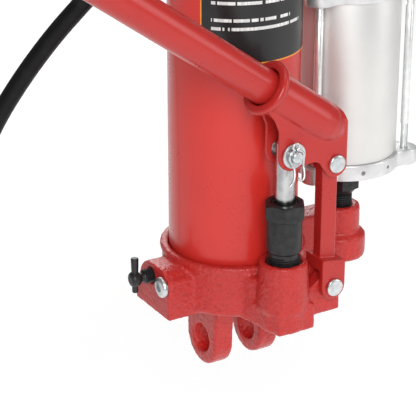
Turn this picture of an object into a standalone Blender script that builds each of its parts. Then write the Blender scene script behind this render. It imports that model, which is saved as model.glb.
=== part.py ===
"""Air and hand operated long ram jack, as named solids.

Metres, +Z up the ram. The origin is the centre of the base clevis pin hole,
+X runs along that pin, and -Y is the side that the hand pump stands on.
Lengths below are millimetres, and MM turns them into metres.
"""

import math

import bmesh
import bpy
from mathutils import Matrix, Vector

MM = 0.001
GAP = 0.3                    # between two pieces that touch

# Base casting
BODY_R = 49.4
BODY_LOW, BODY_TOP = 33.0, 70.5
EAR_R, EAR_OUT, EAR_IN = 19.5, 26.0, 11.0
PIN_HOLE_R = 10.0
TUBE_SEAT = 50.0

# Reservoir and ram
TUBE_R, TUBE_WALL, TUBE_TOP = 44.5, 3.0, 566.0
CYLINDER_R, BORE_R = 33.0, 27.0
ROD_R = 18.0
GLAND_LOW, GLAND_TOP = 556.0, 578.0
PISTON_LOW, PISTON_TOP = 56.5, 70.5
TOP_PIN_Z = 620.0
TOP_CLEVIS_R, TOP_SLOT = 20.0, 22.0

# Hand pump, its lever and its link, all in the plane Y = PUMP_Y
PUMP_Y = -64.0
PUMP_BOSS_TOP = 80.0
HEX_LOW, HEX_TOP, HEX_FLATS = 86.5, 120.8, 25.8
PLUNGER_R = 6.5
PLUNGER_PIN_Z = 156.9
CLIP_LEAN = 3.6              # the clip's eye stands clear of the barrel's hexagon
LINK_X, LINK_LOW_Z, LINK_TOP_Z = 34.0, 55.7, 144.4
PIN_R = 4.0
LUG_HALF = 5.5
EAR_PLATE_HALF, EAR_PLATE_GAP = 8.75, 6.8
HANDLE_SLOPE = math.radians(35.5)
SOCKET_MOUTH = (-17.5, 203.9)
SOCKET_R, SOCKET_BORE_R, SOCKET_RING_R = 14.3, 12.6, 18.7
HANDLE_R, HANDLE_LENGTH = 11.75, 650.0
HANDLE_IN = 40.0             # how far the handle goes into the socket

# Release valve and plug on the side boss
BOSS_X = -64.0
VALVE_Y, VALVE_Z = 3.0, 56.5
PLUG_Y, PLUG_Z = -15.0, 54.5

# Air motor
MOTOR_X = 90.6
MOTOR_R, MOTOR_WALL = 37.6, 2.5
FLANGE_LOW, FLANGE_TOP, CAP_LOW, CAP_TOP = 110.0, 121.0, 236.0, 249.5
ROD_CIRCLE, TIE_ROD_R = 43.4, 2.8
ROD_ANGLES = (90.0, 210.0, 330.0)
MOTOR_BOSS_TOP = 78.0

# Air hose: (along the hose plane, away from the pump side, height)
HOSE_R = 6.75
PLANE_ANGLE = math.radians(-30.8)
HOSE_ROUTE = (
    (77.8, 46.4, 282.0), (74.0, 46.8, 304.4), (62.5, 48.5, 321.9), (45.5, 51.5, 333.8),
    (25.2, 55.0, 338.5), (4.7, 57.5, 335.2), (-13.2, 58.0, 324.0), (-40.0, 56.5, 295.3),
    (-64.0, 54.0, 268.7), (-87.0, 51.8, 243.1), (-108.1, 50.0, 219.7), (-120.7, 50.0, 205.4),
    (-132.3, 50.0, 190.9), (-143.1, 50.0, 176.3), (-153.1, 50.0, 161.6), (-163.7, 50.0, 144.5),
    (-173.0, 50.0, 126.5), (-181.0, 50.0, 105.5), (-187.0, 50.0, 82.5), (-190.5, 50.0, 58.0),
    (-192.0, 50.0, 32.0), (-192.3, 50.0, 5.0), (-192.3, 50.0, -24.0), (-192.3, 50.0, -55.0),
    (-192.3, 50.0, -88.0),
)
HOSE_STEP = 34.0             # length between two points of the tube
FERRULE_LENGTH = 22.0

LABEL_R, LABEL_THICK, LABEL_LOW, LABEL_TOP = 44.8, 0.35, 211.7, 430.0
LABEL_FROM, LABEL_TO = 209.7, 337.0

COLOURS = {                  # colour, roughness, metallic
    "cast_red": ((0.55, 0.02, 0.02), 0.45, 0.0),
    "tube_red": ((0.60, 0.02, 0.02), 0.25, 0.0),
    "black_oxide": ((0.02, 0.02, 0.02), 0.45, 0.6),
    "zinc": ((0.75, 0.75, 0.74), 0.30, 0.9),
    "chrome": ((0.80, 0.80, 0.80), 0.12, 1.0),
    "steel": ((0.45, 0.45, 0.46), 0.35, 1.0),
    "satin_aluminium": ((0.70, 0.70, 0.70), 0.40, 0.9),
    "cast_aluminium": ((0.65, 0.65, 0.66), 0.45, 0.8),
    "black_rubber": ((0.015, 0.015, 0.015), 0.55, 0.0),
    "label": ((0.02, 0.02, 0.02), 0.40, 0.0),
    "brass": ((0.70, 0.50, 0.20), 0.30, 1.0),
}


def start_empty():
    for thing in list(bpy.data.objects):
        bpy.data.objects.remove(thing, do_unlink=True)


def material(name):
    made = bpy.data.materials.get(name)
    if made is None:
        made = bpy.data.materials.new(name)
        made.use_nodes = True
        colour, roughness, metallic = COLOURS[name]
        shader = made.node_tree.nodes["Principled BSDF"]
        shader.inputs["Base Color"].default_value = (*colour, 1.0)
        shader.inputs["Roughness"].default_value = roughness
        shader.inputs["Metallic"].default_value = metallic
    return made


def add(name, bm, finish, smooth=40.0):
    """Turns a bmesh in millimetres into a named object in metres."""
    bmesh.ops.scale(bm, vec=(MM, MM, MM), verts=bm.verts)
    bmesh.ops.recalc_face_normals(bm, faces=bm.faces)
    mesh = bpy.data.meshes.new(name)
    bm.to_mesh(mesh)
    bm.free()
    obj = bpy.data.objects.new(name, mesh)
    bpy.context.scene.collection.objects.link(obj)
    mesh.shade_smooth()
    mesh.set_sharp_from_angle(angle=math.radians(smooth))
    if finish:
        mesh.materials.append(material(finish))
    return obj


def place(bm, where=(0, 0, 0), turn=None):
    """Moves a bmesh whose axis is Z to a point, turned first."""
    matrix = Matrix.Translation(Vector(where)) @ (turn or Matrix.Identity(4))
    bmesh.ops.transform(bm, matrix=matrix, verts=bm.verts)
    return bm


ALONG_X = Matrix.Rotation(math.radians(90), 4, "Y")
ALONG_Y = Matrix.Rotation(math.radians(-90), 4, "X")


def turned(profile, steps=24, closed=False):
    """Spins (radius, height) points about Z. A closed profile makes a ring."""
    bm = bmesh.new()
    ring = [bm.verts.new((r, 0.0, z)) for r, z in profile]
    edges = [bm.edges.new(pair) for pair in zip(ring, ring[1:])]
    if closed:
        edges.append(bm.edges.new((ring[-1], ring[0])))
    bmesh.ops.spin(
        bm, geom=ring + edges, cent=(0, 0, 0), axis=(0, 0, 1),
        angle=math.tau, steps=steps, use_merge=True, use_duplicate=False,
    )
    bmesh.ops.remove_doubles(bm, verts=bm.verts, dist=1e-4)
    return bm


def rod(radius, low, high, steps=20, chamfer=0.0):
    if chamfer:
        profile = [
            (0, low), (radius - chamfer, low), (radius, low + chamfer),
            (radius, high - chamfer), (radius - chamfer, high), (0, high),
        ]
    else:
        profile = [(0, low), (radius, low), (radius, high), (0, high)]
    return turned(profile, steps)


def pipe(outer, inner, low, high, steps=24):
    return turned([(inner, low), (outer, low), (outer, high), (inner, high)], steps, closed=True)


def block(low, high):
    bm = bmesh.new()
    bmesh.ops.create_cube(bm, size=1.0)
    size = [b - a for a, b in zip(low, high)]
    middle = [(a + b) / 2 for a, b in zip(low, high)]
    bmesh.ops.scale(bm, vec=size, verts=bm.verts)
    bmesh.ops.translate(bm, vec=middle, verts=bm.verts)
    return bm


def plate(outline, depth_from, depth_to, across="Y"):
    """Extrudes an outline of (x, z) points along Y, or of (y, z) points along X."""
    bm = bmesh.new()
    if across == "Y":
        points = [(a, depth_from, b) for a, b in outline]
        shift = (0, depth_to - depth_from, 0)
    else:
        points = [(depth_from, a, b) for a, b in outline]
        shift = (depth_to - depth_from, 0, 0)
    face = bm.faces.new([bm.verts.new(p) for p in points])
    grown = bmesh.ops.extrude_face_region(bm, geom=[face])
    moved = [v for v in grown["geom"] if isinstance(v, bmesh.types.BMVert)]
    bmesh.ops.translate(bm, vec=shift, verts=moved)
    return bm


def arc(centre, radius, start, end, steps=8):
    """Points on an arc, from one angle in degrees to another."""
    angles = [math.radians(start + (end - start) * i / steps) for i in range(steps + 1)]
    return [(centre[0] + radius * math.cos(a), centre[1] + radius * math.sin(a)) for a in angles]


def hexagon(flats, low, high, chamfer=1.5):
    """A hexagon bar along Z with turned ends."""
    corner = flats / math.sqrt(3)
    bm = bmesh.new()
    heights = ((flats / 2, low), (corner, low + chamfer), (corner, high - chamfer), (flats / 2, high))
    rings = [
        [
            bm.verts.new((r * math.cos(math.radians(60 * i)), r * math.sin(math.radians(60 * i)), z))
            for i in range(6)
        ]
        for r, z in heights
    ]
    edges = [bm.edges.new((ring[i], ring[(i + 1) % 6])) for ring in rings for i in range(6)]
    for row in range(3):
        bmesh.ops.bridge_loops(bm, edges=edges[6 * row:6 * row + 12])
    bm.faces.new(rings[0][::-1])
    bm.faces.new(rings[-1])
    return bm


def boolean(obj, operation, cutters):
    """Joins or cuts an object with helper meshes that stay out of the model."""
    for number, bm in enumerate(cutters):
        helper = add(f"{obj.name}_{operation.lower()}_{number}", bm, None)
        helper.hide_render = True
        helper.display_type = "WIRE"
        step = obj.modifiers.new(f"{operation.lower()}_{number}", "BOOLEAN")
        step.operation = operation
        step.solver = "EXACT"
        step.object = helper
    return obj


def axis_turn(direction):
    """The turn that takes +Z to a direction."""
    return Vector((0, 0, 1)).rotation_difference(Vector(direction)).to_matrix().to_4x4()


# ---------------------------------------------------------------- the base

def base_casting():
    body = add("base_casting", turned([
        (0, BODY_LOW), (BODY_R - 2.4, BODY_LOW), (BODY_R, BODY_LOW + 2.4),
        (BODY_R, BODY_TOP - 3), (BODY_R - 1.2, BODY_TOP), (0, BODY_TOP),
    ], 36), "cast_red")
    ears = (
        [(23.5, 36.0)] + [(21.0, 24.0)] + arc((0, 0), EAR_R, 10, -190, 16)
        + [(-21.0, 24.0)] + [(-23.5, 36.0)]
    )
    side_boss = (
        [(-22.0, 31.5), (25.0, 31.5), (25.0, 40.0)]
        + arc((4.0, 50.5), 15.4, 12, 88, 5) + arc((-10.0, 54.0), 12.0, 92, 178, 4)
    )
    lug = (
        [(12.0, 34.7), (43.0, 34.7)]
        + arc((LINK_X, LINK_LOW_Z), 8.8, 0, 130, 7) + [(12.0, 52.0)]
    )
    motor_boss = turned([
        (0, 38.0), (17.5, 38.0), (19.0, 39.5), (19.0, 55.0), (17.0, 57.0),
        (14.3, 58.0), (14.3, MOTOR_BOSS_TOP - 1.5), (12.8, MOTOR_BOSS_TOP), (0, MOTOR_BOSS_TOP),
    ], 24)
    boolean(body, "UNION", (
        plate(ears, -EAR_OUT, EAR_OUT, "X"),
        plate(side_boss, BOSS_X, -30.0, "X"),
        place(rod(16.4, 31.4, PUMP_BOSS_TOP, 28, 1.2), (0, PUMP_Y, 0)),
        block((-11.5, -79.0, 30.8), (16.5, -30.0, 49.5)),
        block((-10.0, -60.0, 32.0), (11.0, -38.0, 68.0)),
        plate(lug, PUMP_Y - LUG_HALF, PUMP_Y + LUG_HALF),
        block((35.0, -10.0, 40.5), (MOTOR_X, 10.0, 77.2)),
        place(motor_boss, (MOTOR_X, 0, 0)),
    ))
    boolean(body, "DIFFERENCE", (
        rod(TUBE_R + GAP, TUBE_SEAT, 90.0, 36),
        plate(
            [(-EAR_IN, -30.0), (EAR_IN, -30.0), (EAR_IN, 22.0), (8.0, 27.0), (-8.0, 27.0), (-EAR_IN, 22.0)],
            -40.0, 40.0,
        ),
        place(rod(PIN_HOLE_R, -40.0, 40.0, 32), turn=ALONG_X),
        place(rod(11.3 + GAP, 60.0, 90.0, 26), (0, PUMP_Y, 0)),
        place(rod(8.3 + GAP, 58.5, 90.0), (MOTOR_X, 0, 0)),
        place(rod(5.6 + GAP, -30.0, 18.0), (BOSS_X + 12.0, VALVE_Y, VALVE_Z), axis_turn((1, 0, 0))),
        place(rod(6.0 + GAP, -30.0, 10.0), (BOSS_X + 4.0, PLUG_Y, PLUG_Z), axis_turn((1, 0, 0))),
        place(rod(PIN_R + 0.15, -20.0, 20.0), (LINK_X, PUMP_Y, LINK_LOW_Z), ALONG_Y),
    ))


def release_valve():
    """The T-handled screw, drawn along +Z and then turned to point out of the boss."""
    out = axis_turn((-1, 0, 0))
    seat = (BOSS_X, VALVE_Y, VALVE_Z)
    screw = add("release_valve_screw", place(turned([
        (0, -17.0), (3.0, -14.0), (5.5, -13.0), (5.5, 6.5), (4.6, 7.5), (3.4, 8.0), (3.4, 11.0),
        (5.2, 12.6), (6.0, 15.0), (5.2, 17.4), (2.5, 18.8), (0, 18.8),
    ], 20), seat, out), "black_oxide")
    boolean(screw, "DIFFERENCE", [place(rod(2.2 + GAP, -20.0, 20.0, 16), (BOSS_X - 15.0, VALVE_Y, VALVE_Z))])
    add("release_valve_bar", place(
        rod(2.2, -12.8, 12.8, 16, 0.5), (BOSS_X - 15.0, VALVE_Y, VALVE_Z)), "black_oxide")
    add("safety_valve_plug", place(turned([
        (0, -9.0), (5.9, -9.0), (5.9, GAP), (7.6, GAP), (7.6, 2.2), (6.6, 3.2),
        (3.2, 3.2), (3.2, 1.0), (0, 1.0),
    ], 24), (BOSS_X, PLUG_Y, PLUG_Z), out), "zinc")


# ------------------------------------------------------- reservoir and ram

def reservoir():
    add("reservoir_tube", pipe(TUBE_R, TUBE_R - TUBE_WALL, TUBE_SEAT + GAP, TUBE_TOP, 40), "tube_red")
    add("pressure_cylinder", pipe(CYLINDER_R, BORE_R, TUBE_SEAT + GAP, GLAND_LOW - GAP, 30), "steel")
    inner = TUBE_R - TUBE_WALL - GAP
    add("gland_nut", turned([
        (ROD_R + 0.8, GLAND_LOW), (inner, GLAND_LOW), (inner, TUBE_TOP + GAP), (TUBE_R - 0.5, TUBE_TOP + GAP),
        (TUBE_R - 0.5, GLAND_TOP - 3), (TUBE_R - 3.5, GLAND_TOP), (23.0, GLAND_TOP), (23.0, GLAND_TOP - 4.0),
        (ROD_R + 0.8, GLAND_TOP - 4.0),
    ], 36, closed=True), "tube_red")
    add("rod_wiper", turned([
        (ROD_R + 0.4, GLAND_TOP - 3.7), (22.7, GLAND_TOP - 3.7), (22.7, GLAND_TOP + 0.6), (ROD_R + 0.4, GLAND_TOP + 1.6),
    ], 24, closed=True), "black_rubber")
    add("ram_rod", turned([
        (0, PISTON_LOW + 2.0), (12.0, PISTON_LOW + 2.0), (12.0, PISTON_TOP + GAP), (ROD_R, PISTON_TOP + GAP),
        (ROD_R, 585.8), (16.8, 587.0), (13.0, 587.0), (13.0, 599.0), (0, 599.0),
    ], 24), "chrome")
    add("ram_piston", turned([
        (12.3, PISTON_LOW), (26.8, PISTON_LOW), (26.8, 60.0), (24.0, 60.0), (24.0, 66.0), (26.8, 66.0),
        (26.8, PISTON_TOP), (12.3, PISTON_TOP),
    ], 24, closed=True), "steel")
    add("piston_seal", pipe(26.7, 24.3, 60.3, 65.7, 32), "black_rubber")
    label()


def label():
    """A thin printed band part of the way round the tube."""
    angles = [math.radians(LABEL_FROM + (LABEL_TO - LABEL_FROM) * i / 14) for i in range(15)]
    bm = bmesh.new()
    rims = [
        [bm.verts.new((r * math.cos(a), r * math.sin(a), LABEL_LOW)) for a in angles]
        for r in (LABEL_R, LABEL_R + LABEL_THICK)
    ]
    faces = [
        bm.faces.new((rims[0][i], rims[0][i + 1], rims[1][i + 1], rims[1][i]))
        for i in range(len(angles) - 1)
    ]
    grown = bmesh.ops.extrude_face_region(bm, geom=faces)
    top = [v for v in grown["geom"] if isinstance(v, bmesh.types.BMVert)]
    bmesh.ops.translate(bm, vec=(0, 0, LABEL_TOP - LABEL_LOW), verts=top)
    add("tube_label", bm, "label")


def top_clevis():
    """The swivelling fork on the ram, its thrust washer and its retaining screws."""
    fork = (
        [(-TOP_CLEVIS_R, 589.0), (TOP_CLEVIS_R, 589.0)]
        + arc((0, TOP_PIN_Z), TOP_CLEVIS_R, 0, 180, 16)
    )
    head = add("top_clevis", plate(fork, -24.5, 24.5, "X"), "cast_red")
    boolean(head, "UNION", [rod(25.0, 587.3, 598.5, 28, 1.5)])
    boolean(head, "DIFFERENCE", (
        rod(13.0 + GAP, 580.0, 600.0),
        block((-TOP_SLOT / 2, -30.0, 600.0), (TOP_SLOT / 2, 30.0, 660.0)),
        place(rod(PIN_HOLE_R, -40.0, 40.0, 32), (0, 0, TOP_PIN_Z), ALONG_X),
        place(rod(2.5 + GAP, 8.0, 30.0, 12), (0, 0, 593.0), ALONG_Y),
    ))
    add("clevis_set_screw", place(turned([
        (0, 13.6), (2.5, 13.6), (2.5, 24.6), (1.2, 24.6), (1.2, 22.6), (0, 22.6),
    ], 12), (0, 0, 593.0), ALONG_Y), "black_oxide")


def filler_plug():
    outward = axis_turn((0, 1, 0))
    add("oil_filler_plug", place(turned([
        (0, GAP), (8.5, GAP), (8.5, 3.0), (7.0, 4.4), (3.0, 5.0), (0, 5.0),
    ], 20), (0, TUBE_R, 520.0), outward), "black_rubber")


# ------------------------------------------------------------- hand pump

def pump():
    barrel = add("pump_barrel", turned([
        (0, 60.3), (11.3, 60.3), (11.3, HEX_LOW - 3.6), (10.4, HEX_LOW - 2.4), (10.4, HEX_LOW),
        (11.9, HEX_LOW + 1.0), (11.9, HEX_LOW + 24.6), (0, HEX_LOW + 24.6),
    ], 24), "black_oxide")
    boolean(barrel, "UNION", [place(hexagon(HEX_FLATS, HEX_LOW + 23.0, HEX_TOP))])
    boolean(barrel, "DIFFERENCE", (
        rod(PLUNGER_R + 0.1, 66.0, 130.0),
        pipe(9.0 + GAP, PLUNGER_R + 0.05, HEX_TOP - 4.0, 130.0, 24),
    ))
    barrel.location = (0, PUMP_Y * MM, 0)
    for helper in barrel.modifiers:
        helper.object.location = barrel.location
    add("pump_seal", place(pipe(9.0, PLUNGER_R + 0.2, HEX_TOP - 3.7, HEX_TOP + 0.4, 24), (0, PUMP_Y, 0)),
        "black_rubber")
    plunger = add("pump_plunger", place(turned([
        (0, 94.0), (PLUNGER_R, 94.0), (PLUNGER_R, 163.5), (PLUNGER_R - 1.5, 165.0), (0, 165.0),
    ], 24), (0, PUMP_Y, 0)), "chrome")
    boolean(plunger, "DIFFERENCE", [
        place(rod(PIN_R + 0.1, -20.0, 20.0, 20), (0, PUMP_Y, PLUNGER_PIN_Z), ALONG_Y)])
    # The clip's two legs pass each side of the pin's end, in front of the washer.
    front, back = PUMP_Y - EAR_PLATE_HALF, PUMP_Y + EAR_PLATE_HALF
    pin = add("plunger_pin", place(turned([
        (0, front - 6.5), (PIN_R - 0.8, front - 6.5), (PIN_R, front - 5.7), (PIN_R, back + 0.5),
        (6.2, back + 0.5), (6.2, back + 2.7), (0, back + 2.7),
    ], 20), (0, 0, PLUNGER_PIN_Z), ALONG_Y), "zinc")
    boolean(pin, "DIFFERENCE", [
        place(rod(1.0 + GAP, -8.0, 8.0, 12), (0, front - 3.8, PLUNGER_PIN_Z))])
    add("pin_washer", place(
        pipe(8.5, PIN_R + GAP, front - 1.9, front - 0.4, 24), (0, 0, PLUNGER_PIN_Z), ALONG_Y), "zinc")
    hitch_clip(front - 3.8)


def hitch_clip(depth):
    """Spring cotter: one straight leg through the pin, one leg bent round it, and an eye below."""
    curve = bpy.data.curves.new("hitch_clip", "CURVE")
    curve.dimensions = "3D"
    curve.bevel_depth = 0.9 * MM
    curve.bevel_resolution = 1
    curve.use_fill_caps = True
    loop = arc((1.5, -19.0), 3.6, 160, 380, 8)
    points = (
        [(0.0, 6.5), (0.0, -10.5)] + loop
        + [(6.0, -12.0), (6.4, -6.0), (5.9, 0.0), (6.3, 5.0)]
    )
    spline = curve.splines.new("POLY")
    spline.points.add(len(points) - 1)
    for number, (x, z) in enumerate(points):
        lift = 0.0 if number < 2 else -CLIP_LEAN
        spline.points[number].co = (x * MM, (depth + lift) * MM, (PLUNGER_PIN_Z + z) * MM, 1.0)
    curve.materials.append(material("zinc"))
    obj = bpy.data.objects.new("hitch_clip", curve)
    bpy.context.scene.collection.objects.link(obj)


def link():
    """The swing link: a bar at the top that turns into a fork over the casting's lug."""
    front, back = PUMP_Y - 4.4, PUMP_Y + 4.4
    bar = (
        [(LINK_X - 7.5, 70.0), (LINK_X + 4.5, 70.0), (LINK_X + 4.5, LINK_TOP_Z)]
        + arc((LINK_X - 1.5, LINK_TOP_Z + 1.0), 6.0, 0, 180, 8)
    )
    arms = (
        [(LINK_X - 9.2, 76.5)] + arc((LINK_X, LINK_LOW_Z), 9.2, 180, 360, 10) + [(LINK_X + 9.2, 73.5)]
    )
    swing = add("pump_link", plate(bar, front, back), "tube_red")
    boolean(swing, "UNION", [plate(arms, PUMP_Y - 10.4, PUMP_Y + 10.4)])
    boolean(swing, "DIFFERENCE", (
        block((LINK_X - 20.0, PUMP_Y - LUG_HALF - 0.5, 30.0), (LINK_X + 20.0, PUMP_Y + LUG_HALF + 0.5, 67.5)),
        place(rod(PIN_R + 0.1, -20.0, 20.0, 20), (LINK_X, PUMP_Y, LINK_LOW_Z), ALONG_Y),
        place(rod(PIN_R + 0.1, -20.0, 20.0, 20), (LINK_X, PUMP_Y, LINK_TOP_Z), ALONG_Y),
    ))
    for name, height, half in (
        ("link_lower_pin", LINK_LOW_Z, 10.4), ("link_upper_pin", LINK_TOP_Z, EAR_PLATE_HALF),
    ):
        add(name, place(turned([
            (0, -half - 2.4), (5.4, -half - 2.4), (6.0, -half - 1.8), (6.0, -half - 0.4), (PIN_R, -half - 0.4),
            (PIN_R, half + 0.4), (5.4, half + 0.4), (5.4, half + 1.6), (0, half + 1.6),
        ], 20), (LINK_X, PUMP_Y, height), ALONG_Y), "zinc")


def along_handle(distance):
    """The (x, z) point this far up the handle from the socket's mouth."""
    return (
        SOCKET_MOUTH[0] - distance * math.cos(HANDLE_SLOPE),
        SOCKET_MOUTH[1] + distance * math.sin(HANDLE_SLOPE),
    )


def on_handle(bm):
    """Places a turned piece whose +Z runs up the handle from the socket's mouth."""
    up = axis_turn((-math.cos(HANDLE_SLOPE), 0, math.sin(HANDLE_SLOPE)))
    return place(bm, (SOCKET_MOUTH[0], PUMP_Y, SOCKET_MOUTH[1]), up)


def socket():
    """Tube with a flared mouth over two ear plates, cut off square at the link's end."""
    ears = (
        arc((0, PLUNGER_PIN_Z), 11.0, 170, 290, 7)
        + arc((15.0, 137.0), 11.5, 105, 60, 3)
        + arc((LINK_X, LINK_TOP_Z), 9.6, 215, 360, 8)
        + [(43.6, 172.0), (-17.0, 203.0), (-20.0, 190.0), (-14.0, 182.5), (-10.6, 174.5)]
    )
    body = add("handle_socket", plate(ears, PUMP_Y - EAR_PLATE_HALF, PUMP_Y + EAR_PLATE_HALF), "tube_red")
    boolean(body, "UNION", (
        on_handle(rod(SOCKET_R, -78.0, -1.0, 32)),
        on_handle(turned([
            (0, -7.0), (SOCKET_R - 1.0, -7.0), (SOCKET_RING_R - 1.4, -4.6), (SOCKET_RING_R, -3.0),
            (SOCKET_RING_R, -1.2), (SOCKET_RING_R - 1.2, 0), (0, 0),
        ], 24)),
    ))
    slot_top = [
        (-30.0, 120.0), (60.0, 120.0), (60.0, 155.5), (43.0, 155.5), along_slot(40.0), along_slot(-4.0),
        (-30.0, 183.0),
    ]
    boolean(body, "DIFFERENCE", (
        on_handle(rod(SOCKET_BORE_R, -HANDLE_IN - 2.0, 10.0, 32)),
        plate(slot_top, PUMP_Y - EAR_PLATE_GAP, PUMP_Y + EAR_PLATE_GAP),
        block((43.7, PUMP_Y - 20.0, 120.0), (80.0, PUMP_Y + 20.0, 200.0)),
        place(rod(PIN_R + 2.0, -20.0, 20.0, 20), (0, PUMP_Y, PLUNGER_PIN_Z), ALONG_Y),
        place(rod(PIN_R + 0.1, -20.0, 20.0, 20), (LINK_X, PUMP_Y, LINK_TOP_Z), ALONG_Y),
    ))


def along_slot(distance):
    """A point on the slot's ceiling, which runs under the socket's bore."""
    x, z = along_handle(-distance)
    return (x, z - (SOCKET_BORE_R + 1.1) / math.cos(HANDLE_SLOPE))


def handle():
    lower, upper = 360.0, HANDLE_LENGTH - HANDLE_IN
    add("handle_lower_tube", on_handle(pipe(HANDLE_R, HANDLE_R - 1.6, -HANDLE_IN, lower, 28)), "tube_red")
    add("handle_upper_tube", on_handle(pipe(HANDLE_R - 1.9, HANDLE_R - 3.5, lower - 70.0, upper, 24)),
        "tube_red")
    button = axis_turn((math.sin(HANDLE_SLOPE), 0, math.cos(HANDLE_SLOPE)))
    x, z = along_handle(lower - 20.0)
    tube = bpy.data.objects["handle_lower_tube"]
    boolean(tube, "DIFFERENCE", [place(rod(2.6 + GAP, 0.0, 20.0, 12), (x, PUMP_Y, z), button)])
    add("handle_snap_button", place(
        rod(2.6, HANDLE_R - 1.5, HANDLE_R + 1.8, 12, 0.5), (x, PUMP_Y, z), button), "zinc")
    add("handle_grip", on_handle(turned([
        (0, upper + GAP), (HANDLE_R - 1.6, upper + GAP), (HANDLE_R - 1.6, upper - 105.0),
        (HANDLE_R + 0.6, upper - 105.0), (HANDLE_R + 1.6, upper - 102.0), (HANDLE_R + 1.6, upper + 3.0),
        (HANDLE_R, upper + 5.0), (0, upper + 5.0),
    ], 20)), "black_rubber")


# --------------------------------------------------------------- air motor

def rod_places():
    """The (x, y) point of each tie rod."""
    return [
        (
            MOTOR_X + ROD_CIRCLE * math.cos(math.radians(a)),
            ROD_CIRCLE * math.sin(math.radians(a)),
        )
        for a in ROD_ANGLES
    ]


def motor_plate(name, low, high, reach, hole_r):
    """A round end plate with three lobes for the tie rods."""
    piece = add(name, place(rod(39.6, low, high, 36, 0.8), (MOTOR_X, 0, 0)), "cast_aluminium")
    lobes = []
    for angle in ROD_ANGLES:
        lobe = (
            [(20.0, -reach - 2.5), (ROD_CIRCLE, -reach)]
            + arc((ROD_CIRCLE, 0), reach, -80, 80, 8) + [(ROD_CIRCLE, reach), (20.0, reach + 2.5)]
        )
        bm = plate([(a, b) for a, b in lobe], low + 0.2, high - 0.2)
        turn = Matrix.Rotation(math.radians(angle), 4, "Z") @ Matrix.Rotation(math.radians(90), 4, "X")
        lobes.append(place(bm, (MOTOR_X, 0, 0), turn))
    boolean(piece, "UNION", lobes)
    boolean(piece, "DIFFERENCE", [
        place(rod(hole_r, low - 5, high + 5, 12), (x, y, 0)) for x, y in rod_places()])
    return piece


def air_motor():
    axis = (MOTOR_X, 0, 0)
    add("motor_adapter", place(turned([
        (3.4, 60.0), (8.3, 60.0), (8.3, 97.0), (9.6, 97.6), (13.5, 104.0), (13.5, FLANGE_LOW - GAP),
        (3.4, FLANGE_LOW - GAP),
    ], 24, closed=True), axis), "black_oxide")
    flange = motor_plate("motor_base_flange", FLANGE_LOW, FLANGE_TOP, 9.0, TIE_ROD_R + GAP)
    boolean(flange, "DIFFERENCE", [place(rod(4.0, 100.0, 130.0, 20), axis)])
    add("motor_barrel", place(pipe(
        MOTOR_R, MOTOR_R - MOTOR_WALL, FLANGE_TOP + GAP, CAP_LOW - GAP, 40), axis), "satin_aluminium")
    cap = motor_plate("motor_top_cap", CAP_LOW, CAP_LOW + 11.0, 9.0, TIE_ROD_R + GAP)
    boolean(cap, "UNION", [place(turned([
        (0, CAP_LOW + 5.0), (36.0, CAP_LOW + 5.0), (34.0, CAP_TOP - 2.0), (31.0, CAP_TOP), (14.0, CAP_TOP),
        (12.5, CAP_TOP + 2.0), (0, CAP_TOP + 2.0),
    ], 28), axis)])
    boolean(cap, "DIFFERENCE", [place(rod(6.5 + GAP, CAP_LOW + 6.0, CAP_TOP + 10.0, 20), axis)])
    for number, (x, y) in enumerate(rod_places(), 1):
        add(f"tie_rod_{number}", place(rod(TIE_ROD_R, FLANGE_LOW + 0.5, CAP_LOW + 19.0, 12), (x, y, 0)), "zinc")
        nut = add(f"tie_rod_nut_{number}", place(
            hexagon(10.0, CAP_LOW + 11.0 + GAP, CAP_LOW + 16.5, 0.6), (x, y, 0)), "zinc")
        boolean(nut, "DIFFERENCE", [place(rod(TIE_ROD_R + 0.2, CAP_LOW, CAP_LOW + 25, 12), (x, y, 0))])
    add("motor_piston", place(turned([
        (0, 216.0), (34.6, 216.0), (34.6, 219.0), (32.0, 219.0), (32.0, 223.0), (34.6, 223.0), (34.6, 227.0),
        (0, 227.0),
    ], 28), axis), "cast_aluminium")
    add("motor_piston_seal", place(pipe(34.5, 32.3, 219.3, 222.7, 28), axis), "black_rubber")
    add("motor_piston_rod", place(rod(3.2, 118.0, 216.0 - GAP, 16), axis), "chrome")
    spring()


def spring():
    """The piston's return spring, an open coil of round wire."""
    turns, low, high, radius = 5, 123.0, 214.0, 16.0
    curve = bpy.data.curves.new("return_spring", "CURVE")
    curve.dimensions = "3D"
    curve.bevel_depth = 1.4 * MM
    curve.bevel_resolution = 0
    curve.use_fill_caps = True
    count = turns * 10 + 1
    spline = curve.splines.new("POLY")
    spline.points.add(count - 1)
    for number in range(count):
        angle = math.tau * number / 10
        height = low + (high - low) * number / (count - 1)
        spline.points[number].co = (
            (MOTOR_X + radius * math.cos(angle)) * MM, radius * math.sin(angle) * MM, height * MM, 1.0)
    curve.materials.append(material("steel"))
    obj = bpy.data.objects.new("return_spring", curve)
    bpy.context.scene.collection.objects.link(obj)


# ---------------------------------------------------------------- air hose

def hose_point(across, away, height):
    """From the hose's own plane to the object's axes."""
    c, s = math.cos(PLANE_ANGLE), math.sin(PLANE_ANGLE)
    return Vector((across * c - away * s, across * s + away * c, height))


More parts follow.
